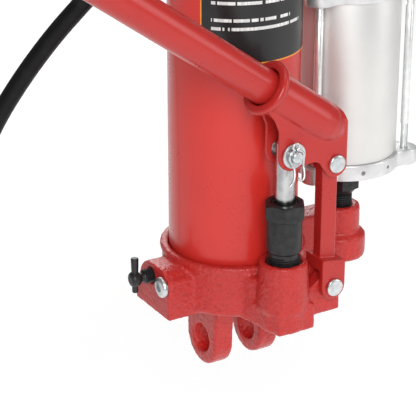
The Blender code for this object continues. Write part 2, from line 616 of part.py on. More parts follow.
def smooth_route(points, step):
    """Evenly spaced points on a Catmull-Rom curve through the route."""
    ends = [points[0] * 2 - points[1]] + list(points) + [points[-1] * 2 - points[-2]]
    fine = []
    for a, b, c, d in zip(ends, ends[1:], ends[2:], ends[3:]):
        for i in range(12):
            t = i / 12
            fine.append(0.5 * (
                2 * b + (c - a) * t + (2 * a - 5 * b + 4 * c - d) * t * t
                + (3 * b - a - 3 * c + d) * t ** 3))
    fine.append(points[-1])
    lengths = [0.0]
    for a, b in zip(fine, fine[1:]):
        lengths.append(lengths[-1] + (b - a).length)
    count = round(lengths[-1] / step)
    spaced, at = [], 0
    for number in range(count + 1):
        target = lengths[-1] * number / count
        while at < len(fine) - 2 and lengths[at + 1] < target:
            at += 1
        share = (target - lengths[at]) / (lengths[at + 1] - lengths[at])
        spaced.append(fine[at].lerp(fine[at + 1], min(share, 1.0)))
    return spaced


def hose():
    route = smooth_route([hose_point(*p) for p in HOSE_ROUTE], HOSE_STEP)
    straight = Vector((0, 0, 6.0))      # square to the ferrule at each end
    route = [route[0], route[0] + straight] + route[1:-1] + [route[-1] + straight, route[-1]]
    curve = bpy.data.curves.new("air_hose", "CURVE")
    curve.dimensions = "3D"
    curve.bevel_depth = HOSE_R * MM
    curve.bevel_resolution = 2
    curve.use_fill_caps = True
    spline = curve.splines.new("POLY")
    spline.points.add(len(route) - 1)
    for number, point in enumerate(route):
        spline.points[number].co = (*(point * MM), 1.0)
    curve.materials.append(material("black_rubber"))
    obj = bpy.data.objects.new("air_hose", curve)
    bpy.context.scene.collection.objects.link(obj)
    start, end = hose_point(*HOSE_ROUTE[0]), hose_point(*HOSE_ROUTE[-1])
    return start, end


def hose_ends(start, end):
    """Fitting and ferrule on the motor, then the lever valve that hangs on the far end."""
    top = start.z
    boolean(add("motor_inlet_fitting", place(turned([
        (0, CAP_LOW + 6.5), (6.2, CAP_LOW + 6.5), (6.2, CAP_TOP + 2.0 + GAP), (5.8, CAP_TOP + 4.0),
        (5.8, top - FERRULE_LENGTH - GAP), (0, top - FERRULE_LENGTH - GAP),
    ], 20), (MOTOR_X, 0, 0)), "brass"), "UNION",
        [place(hexagon(16.0, CAP_TOP + 2.0 + GAP, CAP_TOP + 9.0, 1.0), (MOTOR_X, 0, 0))])
    ferrule = [(0, 0.0), (6.6, 0.0), (8.0, 1.5), (8.0, FERRULE_LENGTH - 2 * GAP), (0, FERRULE_LENGTH - 2 * GAP)]
    add("motor_hose_ferrule", place(turned(ferrule, 24), (start.x, start.y, top - FERRULE_LENGTH + GAP)),
        "zinc")
    drop = axis_turn((0, 0, -1))
    add("valve_hose_ferrule", place(turned([
        (0, GAP), (8.0, GAP), (8.0, FERRULE_LENGTH - 1.5), (6.6, FERRULE_LENGTH), (0, FERRULE_LENGTH),
    ], 24), end, drop), "zinc")
    low = end.z - FERRULE_LENGTH
    valve = add("air_valve_body", place(turned([
        (0, GAP), (8.5, GAP), (11.0, 4.0), (11.0, 34.0), (13.0, 37.0), (13.0, 58.0), (9.0, 62.0), (0, 62.0),
    ], 28), (end.x, end.y, low), drop), "satin_aluminium")
    boolean(valve, "UNION", [block(
        (end.x - 20.0, end.y - 5.0, low - 16.0), (end.x, end.y + 5.0, low - 5.0))])
    boolean(valve, "DIFFERENCE", (
        place(rod(1.6 + GAP, -20.0, 20.0, 12), (end.x - 16.0, end.y, low - 10.5), ALONG_Y),
        place(rod(3.0 + GAP, 2.0, 20.0, 16), (end.x, end.y, low - 47.5), axis_turn((-1, 0, 0))),
    ))
    add("valve_push_pin", place(
        rod(3.0, 6.0, 15.5, 16, 0.6), (end.x, end.y, low - 47.5), axis_turn((-1, 0, 0))), "zinc")
    lever_shape = [
        (end.x - 20.5, low - 4.0), (end.x - 13.5, low - 4.0), (end.x - 20.8, low - 16.5), (end.x - 16.0, low - 40.0),
        (end.x - 16.0, low - 86.0), (end.x - 18.5, low - 90.0), (end.x - 20.5, low - 88.0),
        (end.x - 18.6, low - 84.0), (end.x - 18.6, low - 40.0), (end.x - 24.0, low - 17.0),
    ]
    lever = add("valve_lever", plate(lever_shape, end.y - 8.0, end.y + 8.0), "zinc")
    boolean(lever, "UNION", [block(
        (end.x - 23.0, end.y - 7.8, low - 16.2), (end.x - 12.5, end.y + 7.8, low - 4.4))])
    boolean(lever, "DIFFERENCE", (
        block((end.x - 20.4, end.y - 5.4, low - 16.6), (end.x, end.y + 5.4, low)),
        place(rod(1.6 + 0.1, -20.0, 20.0, 12), (end.x - 16.0, end.y, low - 10.5), ALONG_Y),
    ))
    add("valve_lever_pin", place(
        rod(1.6, -8.6, 8.6, 12, 0.3), (end.x - 16.0, end.y, low - 10.5), ALONG_Y), "steel")
    nipple = [
        (0, GAP), (7.5, GAP), (7.5, 8.0), (5.8, 9.0), (5.8, 20.0), (4.2, 22.0), (4.2, 25.0), (5.4, 27.0),
        (5.4, 31.0), (4.0, 33.0), (0, 33.0),
    ]
    add("air_inlet_plug", place(turned(nipple, 20), (end.x, end.y, low - 62.0), drop), "zinc")


def build():
    start_empty()
    base_casting()
    release_valve()
    reservoir()
    top_clevis()
    filler_plug()
    pump()
    link()
    socket()
    handle()
    air_motor()
    start, end = hose()
    hose_ends(start, end)


build()
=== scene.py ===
"""Air and hand operated long ram jack: its looks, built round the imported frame.

Lengths are millimetres, in the frame's own axes, and MM turns them into metres.
"""

from __future__ import annotations

import logging
import math
from dataclasses import dataclass
from enum import Enum
from typing import Any, Iterable, Sequence

import bmesh
import bpy
from mathutils import Matrix, Vector, noise

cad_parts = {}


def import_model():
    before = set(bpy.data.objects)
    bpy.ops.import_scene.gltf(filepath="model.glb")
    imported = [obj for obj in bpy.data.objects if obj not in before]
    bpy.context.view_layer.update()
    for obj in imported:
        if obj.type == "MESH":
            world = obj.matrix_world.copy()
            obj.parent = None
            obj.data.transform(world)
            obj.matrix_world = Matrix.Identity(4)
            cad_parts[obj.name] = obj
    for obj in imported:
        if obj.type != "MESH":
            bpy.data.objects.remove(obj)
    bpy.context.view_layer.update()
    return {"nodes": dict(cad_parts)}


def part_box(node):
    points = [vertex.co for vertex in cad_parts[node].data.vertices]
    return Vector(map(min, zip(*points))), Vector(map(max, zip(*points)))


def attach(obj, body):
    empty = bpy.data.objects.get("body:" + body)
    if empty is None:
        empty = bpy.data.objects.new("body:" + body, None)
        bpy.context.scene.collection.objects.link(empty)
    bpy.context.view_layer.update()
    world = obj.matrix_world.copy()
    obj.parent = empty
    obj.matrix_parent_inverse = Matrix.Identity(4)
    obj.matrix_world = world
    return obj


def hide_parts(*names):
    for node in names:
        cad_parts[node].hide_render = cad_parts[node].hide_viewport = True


LOG = logging.getLogger("long_ram_jack")
MM = 0.001
FINE, MEDIUM, COARSE = 128, 64, 32
Point = tuple[float, ...]


class Cut(Enum):
    """How one shape is combined with another."""

    JOIN = "UNION"
    REMOVE = "DIFFERENCE"
    KEEP_COMMON = "INTERSECT"


class Axis(Enum):
    """Where the +Z of a turned shape is sent."""

    UP = (0.0, 0.0, 1.0)
    DOWN = (0.0, 0.0, -1.0)
    RIGHT = (1.0, 0.0, 0.0)
    LEFT = (-1.0, 0.0, 0.0)
    AWAY = (0.0, 1.0, 0.0)

    def turn(self) -> Matrix:
        """The rotation from +Z to this axis."""
        return turn_to(self.value)


def turn_to(direction: Sequence[float]) -> Matrix:
    """The rotation that takes +Z to a direction.

    Args:
        direction: where +Z goes.

    Returns:
        A 4 by 4 rotation.
    """
    return Vector((0, 0, 1)).rotation_difference(Vector(direction)).to_matrix().to_4x4()


def arc(centre: Point, radius: float, start: float, end: float, steps: int = 16) -> list[Point]:
    """Points on an arc.

    Args:
        centre: the arc's centre.
        radius: its radius.
        start: first angle in degrees.
        end: last angle in degrees.
        steps: how many chords it has.

    Returns:
        The points, in order.
    """
    angles = [math.radians(start + (end - start) * i / steps) for i in range(steps + 1)]
    return [(centre[0] + radius * math.cos(a), centre[1] + radius * math.sin(a)) for a in angles]


def rounded(points: Sequence[Point], radius: float, closed: bool = False, steps: int = 3) -> list[Point]:
    """Rounds the corners of an outline.

    Args:
        points: corners (a, b), or (a, b, own radius).
        radius: how far from each corner the round starts.
        closed: whether the last point joins the first.
        steps: chords in each round.

    Returns:
        The rounded outline.
    """
    made: list[Point] = []
    count = len(points)
    for i, corner in enumerate(points):
        here = Vector(corner[:2])
        if not closed and i in (0, count - 1):
            made.append(tuple(here))
            continue
        before, after = Vector(points[i - 1][:2]), Vector(points[(i + 1) % count][:2])
        reach = corner[2] if len(corner) > 2 else radius
        reach = min(reach, 0.45 * (before - here).length, 0.45 * (after - here).length)
        if reach <= 0.01:
            made.append(tuple(here))
            continue
        first = here + (before - here).normalized() * reach
        last = here + (after - here).normalized() * reach
        for step in range(steps + 1):
            t = step / steps
            made.append(tuple(first * (1 - t) ** 2 + here * (2 * t * (1 - t)) + last * t * t))
    return made


# ------------------------------------------------------------------ shader maths


class Wave:
    """A number that changes over a surface; arithmetic on it adds Math nodes."""

    def __init__(self, graph: "Graph", socket: bpy.types.NodeSocket) -> None:
        """Wraps an output socket of a graph."""
        self.graph, self.socket = graph, socket

    def _maths(self, operation: str, *values: Any) -> "Wave":
        """One Math node on these values."""
        return self.graph.node("ShaderNodeMath", {"operation": operation}, dict(enumerate(values)))

    def __add__(self, other: Any) -> "Wave":
        """Sum."""
        return self._maths("ADD", self, other)

    __radd__ = __add__

    def __sub__(self, other: Any) -> "Wave":
        """Difference."""
        return self._maths("SUBTRACT", self, other)

    def __rsub__(self, other: Any) -> "Wave":
        """Difference from a value."""
        return self._maths("SUBTRACT", other, self)

    def __mul__(self, other: Any) -> "Wave":
        """Product."""
        return self._maths("MULTIPLY", self, other)

    __rmul__ = __mul__

    def __truediv__(self, other: Any) -> "Wave":
        """Quotient."""
        return self._maths("DIVIDE", self, other)

    def __gt__(self, other: Any) -> "Wave":
        """1 where this is more than the other, else 0."""
        return self._maths("GREATER_THAN", self, other)

    def __lt__(self, other: Any) -> "Wave":
        """1 where this is less than the other, else 0."""
        return self._maths("LESS_THAN", self, other)

    def fraction(self) -> "Wave":
        """The part after the decimal point."""
        return self._maths("FRACT", self)

    def floor(self) -> "Wave":
        """The whole number below."""
        return self._maths("FLOOR", self)

    def either(self, other: Any) -> "Wave":
        """The larger of the two."""
        return self._maths("MAXIMUM", self, other)

    def both(self, other: Any) -> "Wave":
        """The smaller of the two."""
        return self._maths("MINIMUM", self, other)

    def between(self, low: float, high: float) -> "Wave":
        """A smooth step from 0 at low to 1 at high."""
        return self.graph.node("ShaderNodeMapRange", {"interpolation_type": "SMOOTHSTEP"},
                               {"Value": self, "From Min": low, "From Max": high})


class Graph:
    """One material's node tree."""

    def __init__(self, name: str) -> None:
        """Starts an empty material of this name, with its shader."""
        self.material = bpy.data.materials.new(name)
        self.material.use_nodes = True
        self.tree = self.material.node_tree
        self.shader = self.tree.nodes["Principled BSDF"]

    def node(self, kind: str, settings: dict | None = None, inputs: dict | None = None,
             output: int | str = 0) -> Wave:
        """Adds a node.

        Args:
            kind: the node's type.
            settings: what is set on the node first; "stops" fills a ramp.
            inputs: the values or links of its sockets.
            output: which output is returned.

        Returns:
            The output as a Wave.
        """
        made = self.tree.nodes.new(kind)
        for key, value in (settings or {}).items():
            if key == "stops":
                while len(made.color_ramp.elements) < len(value):
                    made.color_ramp.elements.new(1.0)
                for element, (place, colour) in zip(made.color_ramp.elements, value):
                    element.position, element.color = place, (*colour, 1.0)
            else:
                setattr(made, key, value)
        for key, value in (inputs or {}).items():
            self.feed(made.inputs[key], value)
        return Wave(self, made.outputs[output])

    def feed(self, socket: bpy.types.NodeSocket, value: Any) -> None:
        """Links or sets one input socket."""
        if isinstance(value, Wave):
            self.tree.links.new(value.socket, socket)
        elif isinstance(value, tuple) and len(value) == 3 and socket.type == "RGBA":
            socket.default_value = (*value, 1.0)
        else:
            socket.default_value = value

    def place(self, stretch: Point = (1.0, 1.0, 1.0), source: str = "Object") -> Wave:
        """Coordinates in metres, scaled along each axis."""
        base = self.node("ShaderNodeTexCoord", output=source)
        return self.node("ShaderNodeMapping", {}, {"Vector": base, "Scale": stretch})

    def grain(self, size: float, detail: float = 3.0, stretch: Point = (1.0, 1.0, 1.0),
              rough: float = 0.55) -> Wave:
        """Noise whose lumps are about this many millimetres across."""
        return self.node("ShaderNodeTexNoise", {}, {
            "Vector": self.place(stretch), "Scale": 1.0 / (size * MM), "Detail": detail, "Roughness": rough})

    def mix(self, share: Any, first: Any, second: Any) -> Wave:
        """A colour between two colours."""
        return self.node("ShaderNodeMix", {"data_type": "RGBA"}, {0: share, 6: first, 7: second}, 2)

    def bump(self, height: Any, depth: float, below: Wave | None = None) -> Wave:
        """A normal from a height that is this many millimetres deep."""
        inputs: dict = {"Height": height, "Distance": depth * MM, "Strength": 1.0}
        if below:
            inputs["Normal"] = below
        return self.node("ShaderNodeBump", {}, inputs)

    def shade(self, **sockets: Any) -> None:
        """Sets the shader's sockets, named with underscores for spaces."""
        for key, value in sockets.items():
            self.feed(self.shader.inputs[key.replace("_", " ")], value)


@dataclass(frozen=True)
class Finish:
    """A finish, with the record's slot that it stands for."""

    name: str
    slot: str

    def dress(self, graph: Graph) -> None:
        """Fills the node tree."""
        raise NotImplementedError

    def material(self) -> bpy.types.Material:
        """The material, made the first time it is asked for."""
        found = bpy.data.materials.get(self.name)
        if found is None:
            graph = Graph(self.name)
            self.dress(graph)
            found = graph.material
        return found


@dataclass(frozen=True)
class Enamel(Finish):
    """Red enamel over metal: level on tube, lumpy over a casting."""

    colour: Point = (0.56, 0.018, 0.016)
    # The deep colour is a random darker tone, and over a casting also painted shade in the hollows.
    deep: Point = (0.36, 0.008, 0.010)
    lumps: float = 0.0
    roughness: float = 0.3

    def dress(self, graph: Graph) -> None:
        """Colour with a broad random tone, painted shade in the hollows of the cast pits, painted highlight specks,
        orange peel, and cast lumps.
        """
        broad = graph.grain(26.0, 2.0)
        peel = graph.grain(1.6, 2.0)
        pits = graph.grain(2.5, 3.0, rough=0.6)
        # Over a casting the deep colour fills the pits' hollows as painted shade; the broad noise is random tone.
        tone_and_hollow_shade = (pits.between(0.25, 0.55) * 0.5 + broad * 0.3 + 0.35).both(1.0) if self.lumps else broad * 0.5 + 0.55
        # Small lighter red specks are painted highlight glints on the enamel.
        painted_glint_specks = graph.grain(0.55, 1.0).between(0.74, 0.80)
        colour = graph.mix(tone_and_hollow_shade, self.deep, self.colour)
        colour = graph.mix(painted_glint_specks * 0.2, colour, (0.66, 0.07, 0.06))
        normal = graph.bump(peel, 0.012 + 0.05 * self.lumps)
        if self.lumps:
            normal = graph.bump(pits, 1.3 * self.lumps, normal)
            normal = graph.bump(graph.grain(1.0, 3.0), 0.24 * self.lumps, normal)
        graph.shade(Base_Color=colour, Roughness=self.roughness + 0.12 * (broad - 0.5) + 0.10 * peel - 0.05,
                    Normal=normal, Coat_Weight=0.12 + 0.08 * self.lumps, Coat_Roughness=0.10, IOR=1.45)


@dataclass(frozen=True)
class BareMetal(Finish):
    """Machined or plated metal with tool marks that run round or along one axis."""

    colour: Point = (0.75, 0.75, 0.74)
    shade_colour: Point = (0.6, 0.6, 0.6)
    roughness: float = 0.3
    marks: Point = (1.0, 1.0, 30.0)
    mark_depth: float = 0.01
    mottle: float = 6.0
    metallic: float = 1.0

    def dress(self, graph: Graph) -> None:
        """Mottled plate, fine tool marks and a few handling scratches."""
        cloud = graph.grain(self.mottle, 4.0)
        lines = graph.grain(3.0, 3.0, self.marks)
        hair = graph.grain(2.0, 1.0, (1.0, 6.0, 1.4)).between(0.66, 0.70)
        normal = graph.bump(lines, self.mark_depth)
        normal = graph.bump(graph.grain(0.8, 2.0), self.mark_depth * 0.25, normal)
        graph.shade(
            Base_Color=graph.mix(cloud.between(0.3, 0.7), self.shade_colour, self.colour),
            Roughness=self.roughness + 0.16 * (cloud - 0.5) + 0.08 * (lines - 0.5) + 0.06 * hair,
            Metallic=self.metallic, Normal=normal)


@dataclass(frozen=True)
class Rubber(Finish):
    """Moulded black rubber with a dusty grain."""

    colour: Point = (0.005, 0.005, 0.005)
    dusty: Point = (0.014, 0.014, 0.015)
    roughness: float = 0.46

    def dress(self, graph: Graph) -> None:
        """Fine moulded grain and a faint bloom."""
        bloom = graph.grain(14.0, 4.0)
        grain = graph.grain(0.7, 3.0)
        normal = graph.bump(grain, 0.03)
        graph.shade(Base_Color=graph.mix(bloom.between(0.45, 0.75), self.colour, self.dusty),
                    Roughness=self.roughness + 0.18 * (bloom - 0.5) + 0.1 * grain,
                    Normal=normal, Specular_IOR_Level=0.22)


@dataclass(frozen=True)
class PrintedFilm(Finish):
    """Black film with a thin orange border and plain pale bars in rows."""

    width: float = 99.5
    height: float = 218.3
    border: float = 0.9
    corner: float = 9.0
    row: float = 5.6
    orange: Point = (0.90, 0.33, 0.02)
    pale: Point = (0.80, 0.80, 0.78)
    black: Point = (0.012, 0.012, 0.013)

    def dress(self, graph: Graph) -> None:
        """The print, read from the band's own UV map."""
        uv = graph.node("ShaderNodeTexCoord", output="UV")
        split = graph.node("ShaderNodeSeparateXYZ", {}, {0: uv})
        across = split * self.width
        up = Wave(graph, split.socket.node.outputs[1]) * self.height
        # How deep a point lies inside a rectangle with round corners.
        from_side = across.both(self.width - across)
        from_end = up.both(self.height - up)
        side_left = (self.corner - from_side).either(0.0)
        end_left = (self.corner - from_end).either(0.0)
        square = side_left * side_left + end_left * end_left
        reach = graph.node("ShaderNodeMath", {"operation": "SQRT"}, {0: square})
        edge = reach > (self.corner - self.border)
        rows = (up + 1.8) / self.row
        number = rows.floor()
        line = (rows.fraction() > 0.34).both(rows.fraction() < 0.72)
        syllable = (across / 1.15).floor()
        cell = graph.node("ShaderNodeCombineXYZ", {}, {0: syllable, 1: number})
        chance = graph.node("ShaderNodeTexWhiteNoise", {"noise_dimensions": "2D"}, {"Vector": cell})
        word = chance > 0.17
        stroke = ((across / 0.62).fraction() > 0.16).either(chance > 0.86)
        tail = graph.node("ShaderNodeTexWhiteNoise", {"noise_dimensions": "1D"}, {"W": number * 1.7 + 3.0})
        in_row = (across > 7.5).both(across < (86.0 - tail * 26.0))
        gap = ((number + 2.0) / 4.0).fraction() > 0.2
        text = line.both(word).both(stroke).both(in_row).both(gap).both(number > 3.5)
        film = graph.mix(text, self.black, self.pale)
        film = graph.mix(edge, film, self.orange)
        crease = graph.grain(9.0, 2.0)
        graph.shade(Base_Color=film, Roughness=0.30 + 0.10 * crease, Coat_Weight=0.1,
                    Coat_Roughness=0.15, Normal=graph.bump(crease, 0.05))


@dataclass(frozen=True)
class PaleFloor(Finish):
    """Plain pale floor."""

    def dress(self, graph: Graph) -> None:
        """A nearly even white."""
        cloud = graph.grain(900.0, 1.0)
        graph.shade(Base_Color=graph.mix(cloud, (0.88, 0.88, 0.88), (0.92, 0.92, 0.92)), Roughness=0.8,
                    Emission_Color=(1.0, 1.0, 1.0), Emission_Strength=0.22)


CAST_RED = Enamel("cast_enamel", "cast_red", (0.52, 0.020, 0.016), (0.30, 0.008, 0.009), 1.0, 0.33)
# The next two finishes are one red enamel (slot tube_red) in two brightnesses: the first, on the tube and gland, made
# lighter as painted highlight; the second, on the pressed socket, link and handle, made darker as painted shade.
TUBE_RED = Enamel("tube_enamel", "tube_red", (0.64, 0.030, 0.022), (0.50, 0.016, 0.015), 0.0, 0.30)
TUBE_RED_SHADED_COPY = Enamel("tube_enamel_shaded_copy", "tube_red", (0.47, 0.022, 0.018), (0.38, 0.012, 0.011), 0.0, 0.30)
BLACK_OXIDE = BareMetal("black_oxide_steel", "black_oxide", (0.030, 0.030, 0.032), (0.014, 0.014, 0.015),
                        0.36, (1.0, 1.0, 14.0), 0.012, 4.0, 0.35)
ZINC = BareMetal("zinc_plate", "zinc", (0.72, 0.74, 0.74), (0.52, 0.54, 0.56), 0.30, (1.0, 1.0, 8.0), 0.003, 5.0, 0.9)
CHROME = BareMetal("hard_chrome", "chrome", (0.80, 0.80, 0.80), (0.74, 0.74, 0.75), 0.14, (1.0, 1.0, 60.0), 0.0006)
STEEL = BareMetal("turned_steel", "steel", (0.46, 0.46, 0.47), (0.34, 0.34, 0.35), 0.34)
# A darker copy of the hard chrome, used on the plunger: painted shade.
CHROME_SHADED_COPY = BareMetal("hard_chrome_shaded_copy", "chrome", (0.56, 0.56, 0.56), (0.42, 0.42, 0.43), 0.22,
                         (1.0, 1.0, 40.0), 0.001)
# A lighter copy of the zinc plate, used on the tie rods: painted light.
ZINC_LIT_COPY = BareMetal("zinc_plate_lit_copy", "zinc", (0.90, 0.91, 0.90), (0.78, 0.80, 0.79), 0.34,
                        (1.0, 1.0, 8.0), 0.003, 5.0, 0.8)
SATIN = BareMetal("satin_aluminium_tube", "satin_aluminium", (0.80, 0.79, 0.77), (0.75, 0.745, 0.73), 0.47,
                  (14.0, 14.0, 0.5), 0.006, 40.0, 0.75)
CAST_ALLOY = BareMetal("machined_aluminium", "cast_aluminium", (0.80, 0.80, 0.80), (0.70, 0.70, 0.71), 0.40,
                       (1.0, 1.0, 6.0), 0.004, 9.0, 0.85)
BLACK_RUBBER = Rubber("black_rubber_moulded", "black_rubber")
BRASS = BareMetal("turned_brass", "brass", (0.72, 0.50, 0.20), (0.58, 0.38, 0.14), 0.26)
FILM = PrintedFilm("printed_film", "label")
FLOOR = PaleFloor("pale_floor", "none")


# ------------------------------------------------------------------ mesh bench


class Blank:
    """A mesh on the bench, in millimetres. Its methods shape it and return it."""

    def __init__(self) -> None:
        """Starts with nothing."""
        self.bm = bmesh.new()

    @classmethod
    def lathe(cls, profile: Sequence[Point], steps: int = FINE, closed: bool = False, fillet: float = 0.0,
              sweep: float = 360.0, start: float = 0.0) -> "Blank":
        """Spins a profile about Z.

        Args:
            profile: (radius, height) points.
            steps: how many steps round.
            closed: whether the profile is a ring's section.
            fillet: how far from each corner its round starts.
            sweep: the angle turned, in degrees.
            start: the first angle, in degrees.

        Returns:
            The turned shape.
        """
        made = cls()
        points = rounded(profile, fillet, closed) if fillet else profile
        spot = math.radians(start)
        ring = [made.bm.verts.new((p[0] * math.cos(spot), p[0] * math.sin(spot), p[1])) for p in points]
        edges = [made.bm.edges.new(pair) for pair in zip(ring, ring[1:])]
        if closed:
            edges.append(made.bm.edges.new((ring[-1], ring[0])))
        full = sweep > 359.9
        bmesh.ops.spin(made.bm, geom=ring + edges, cent=(0, 0, 0), axis=(0, 0, 1), angle=math.radians(sweep),
                       steps=steps, use_merge=full)
        bmesh.ops.remove_doubles(made.bm, verts=made.bm.verts, dist=1e-4)
        if not full:
            bmesh.ops.holes_fill(made.bm, edges=made.bm.edges, sides=len(points) + 2)
        return made

    @classmethod
    def bar(cls, outline: Sequence[Point], low: float, high: float) -> "Blank":
        """An outline in X and Y, raised along Z from low to high."""
        made = cls()
        face = made.bm.faces.new([made.bm.verts.new((a, b, low)) for a, b in outline])
        grown = bmesh.ops.extrude_face_region(made.bm, geom=[face])
        top = [v for v in grown["geom"] if isinstance(v, bmesh.types.BMVert)]
        bmesh.ops.translate(made.bm, vec=(0, 0, high - low), verts=top)
        return made.facing_out()

    @classmethod
    def sheet(cls, outline: Sequence[Point], front: float, back: float) -> "Blank":
        """An outline in X and Z, given depth along Y from front to back."""
        made = cls.bar([(a, b) for a, b in outline], -back, -front)
        return made.place(turn=Matrix.Rotation(math.radians(90), 4, "X"))

    @classmethod
    def hexagon(cls, flats: float, low: float, high: float, chamfer: float = 1.2) -> "Blank":
        """A hexagon bar along Z whose ends are turned to a cone."""
        corner = flats / math.sqrt(3)
        made = cls.bar(arc((0, 0), corner, 0, 300, 5), low, high)
        cone = cls.lathe([(0, low), (flats / 2 - 0.3, low), (corner + 0.4, low + chamfer),
                          (corner + 0.4, high - chamfer), (flats / 2 - 0.3, high), (0, high)], MEDIUM)
        return made.combine(Cut.KEEP_COMMON, cone)

    @classmethod
    def box(cls, low: Point, high: Point) -> "Blank":
        """A block between two corners."""
        made = cls()
        bmesh.ops.create_cube(made.bm, size=1.0)
        bmesh.ops.scale(made.bm, vec=[b - a for a, b in zip(low, high)], verts=made.bm.verts)
        return made.place([(a + b) / 2 for a, b in zip(low, high)])

    @classmethod
    def thread(cls, root: float, crest: float, pitch: float, low: float, high: float, steps: int = 28) -> "Blank":
        """The ridge of a screw thread round Z, on a core of the root radius."""
        made = cls()
        turns = (high - low) / pitch - 1.0
        section = [(root - 0.3, low + 0.05 * pitch), (crest, low + 0.42 * pitch), (crest, low + 0.58 * pitch),
                   (root - 0.3, low + 0.95 * pitch)]
        ring = [made.bm.verts.new((r, 0.0, z)) for r, z in section]
        made.bm.faces.new(ring)
        edges = list(made.bm.edges)
        bmesh.ops.spin(made.bm, geom=ring + edges, cent=(0, 0, 0), axis=(0, 0, 1), angle=math.tau * turns,
                       steps=max(3, round(steps * turns)), dvec=(0, 0, pitch / steps), use_merge=False)
        bmesh.ops.holes_fill(made.bm, edges=made.bm.edges, sides=4)
        return made.facing_out()

    @classmethod
    def of_node(cls, node: bpy.types.Object) -> "Blank":
        """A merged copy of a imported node."""
        made = cls()
        made.bm.from_mesh(node.data)
        bmesh.ops.scale(made.bm, vec=(1 / MM, 1 / MM, 1 / MM), verts=made.bm.verts)
        bmesh.ops.remove_doubles(made.bm, verts=made.bm.verts, dist=2e-3)
        bmesh.ops.dissolve_degenerate(made.bm, edges=made.bm.edges, dist=1e-4)
        return made

    def facing_out(self) -> "Blank":
        """Turns the faces outwards."""
        bmesh.ops.recalc_face_normals(self.bm, faces=self.bm.faces)
        return self

    def place(self, where: Sequence[float] = (0, 0, 0), turn: Matrix | None = None) -> "Blank":
        """Turns the shape about the origin and then moves it."""
        matrix = Matrix.Translation(Vector(where)) @ (turn or Matrix.Identity(4))
        bmesh.ops.transform(self.bm, matrix=matrix, verts=self.bm.verts)
        return self

    def add(self, *others: "Blank") -> "Blank":
        """Lays other shapes into this one as they are."""
        for other in others:
            mesh = bpy.data.meshes.new("laid_in")
            other.bm.to_mesh(mesh)
            self.bm.from_mesh(mesh)
            bpy.data.meshes.remove(mesh)
            other.bm.free()
        return self

    def _evaluated(self, modifiers: Iterable[tuple[str, dict]]) -> "Blank":
        """Replaces the mesh by what these modifiers make of it."""
        mesh = bpy.data.meshes.new("bench")
        self.bm.to_mesh(mesh)
        obj = bpy.data.objects.new("bench", mesh)
        bpy.context.scene.collection.objects.link(obj)
        for kind, settings in modifiers:
            step = obj.modifiers.new(kind.lower(), kind)
            for key, value in settings.items():
                setattr(step, key, value)
        bpy.context.view_layer.update()
        result = obj.evaluated_get(bpy.context.evaluated_depsgraph_get())
        self.bm.free()
        self.bm = bmesh.new()
        made = result.to_mesh()
        self.bm.from_mesh(made)
        result.to_mesh_clear()
        bpy.data.objects.remove(obj)
        bpy.data.meshes.remove(mesh)
        return self

    def combine(self, how: Cut, *others: "Blank") -> "Blank":
        """Joins, cuts or intersects this shape with others."""
        helpers = []
        self.facing_out()
        for other in others:
            other.facing_out()
            mesh = bpy.data.meshes.new("helper")
            other.bm.to_mesh(mesh)
            other.bm.free()
            helper = bpy.data.objects.new("helper", mesh)
            bpy.context.scene.collection.objects.link(helper)
            helpers.append(helper)
        self._evaluated([("BOOLEAN", {"operation": how.value, "object": helper}) for helper in helpers])
        for helper in helpers:
            bpy.data.objects.remove(helper)
        return self

    def cast(self, voxel: float, rounds: int) -> "Blank":
        """Melts all shells into one skin with rounded edges.

        Args:
            voxel: the size of the skin's squares.
            rounds: how often the skin is evened out.

        Returns:
            This shape.
        """
        self._evaluated([("REMESH", {"mode": "VOXEL", "voxel_size": voxel})])
        for _ in range(rounds):
            bmesh.ops.smooth_vert(self.bm, verts=self.bm.verts, factor=0.5, use_axis_x=True, use_axis_y=True,
                                  use_axis_z=True)
        return self

    def pit(self, depth: float, size: float) -> "Blank":
        """Moves the skin in and out as a sand casting is."""
        self.bm.normal_update()
        for vert in self.bm.verts:
            spot = vert.co / size
            lump = noise.noise(spot) * 0.7 + noise.noise(spot * 2.3) * 0.4
            vert.co += vert.normal * depth * lump
        return self

    def bevel(self, width: float, segments: int = 2, angle: float = 35.0) -> "Blank":
        """Rounds every edge sharper than an angle."""
        self.bm.normal_update()
        sharp = [e for e in self.bm.edges if e.is_manifold and e.calc_face_angle() > math.radians(angle)]
        bmesh.ops.bevel(self.bm, geom=sharp, offset=width, segments=segments, affect="EDGES", profile=0.5,
                        material=-1, clamp_overlap=True)
        return self

    def piece(self, name: str, finish: Finish, body: str, *nodes: str, sharp: float = 38.0,
              out: bool = True) -> bpy.types.Object:
        """Takes the shape off the bench as a piece of the jack.

        Args:
            name: the piece's name.
            finish: its finish.
            body: the body that it rides on.
            nodes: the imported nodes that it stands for.
            sharp: the angle past which an edge stays sharp.
            out: whether its faces are turned outwards first.

        Returns:
            The piece's object.
        """
        bmesh.ops.scale(self.bm, vec=(MM, MM, MM), verts=self.bm.verts)
        if out:
            self.facing_out()
        mesh = bpy.data.meshes.new(name)
        self.bm.to_mesh(mesh)
        self.bm.free()
        mesh.shade_smooth()
        mesh.set_sharp_from_angle(angle=math.radians(sharp))
        mesh.materials.append(finish.material())
        obj = bpy.data.objects.new(name, mesh)
        bpy.context.scene.collection.objects.link(obj)
        return settle(obj, finish, body, *nodes)


def settle(obj: bpy.types.Object, finish: Finish, body: str, *nodes: str) -> bpy.types.Object:
    """Says what a finished piece rides on and stands for."""
    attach(obj, body)
    if nodes:
        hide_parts(*nodes)
    LOG.info("%s on %s", obj.name, body)
    return obj


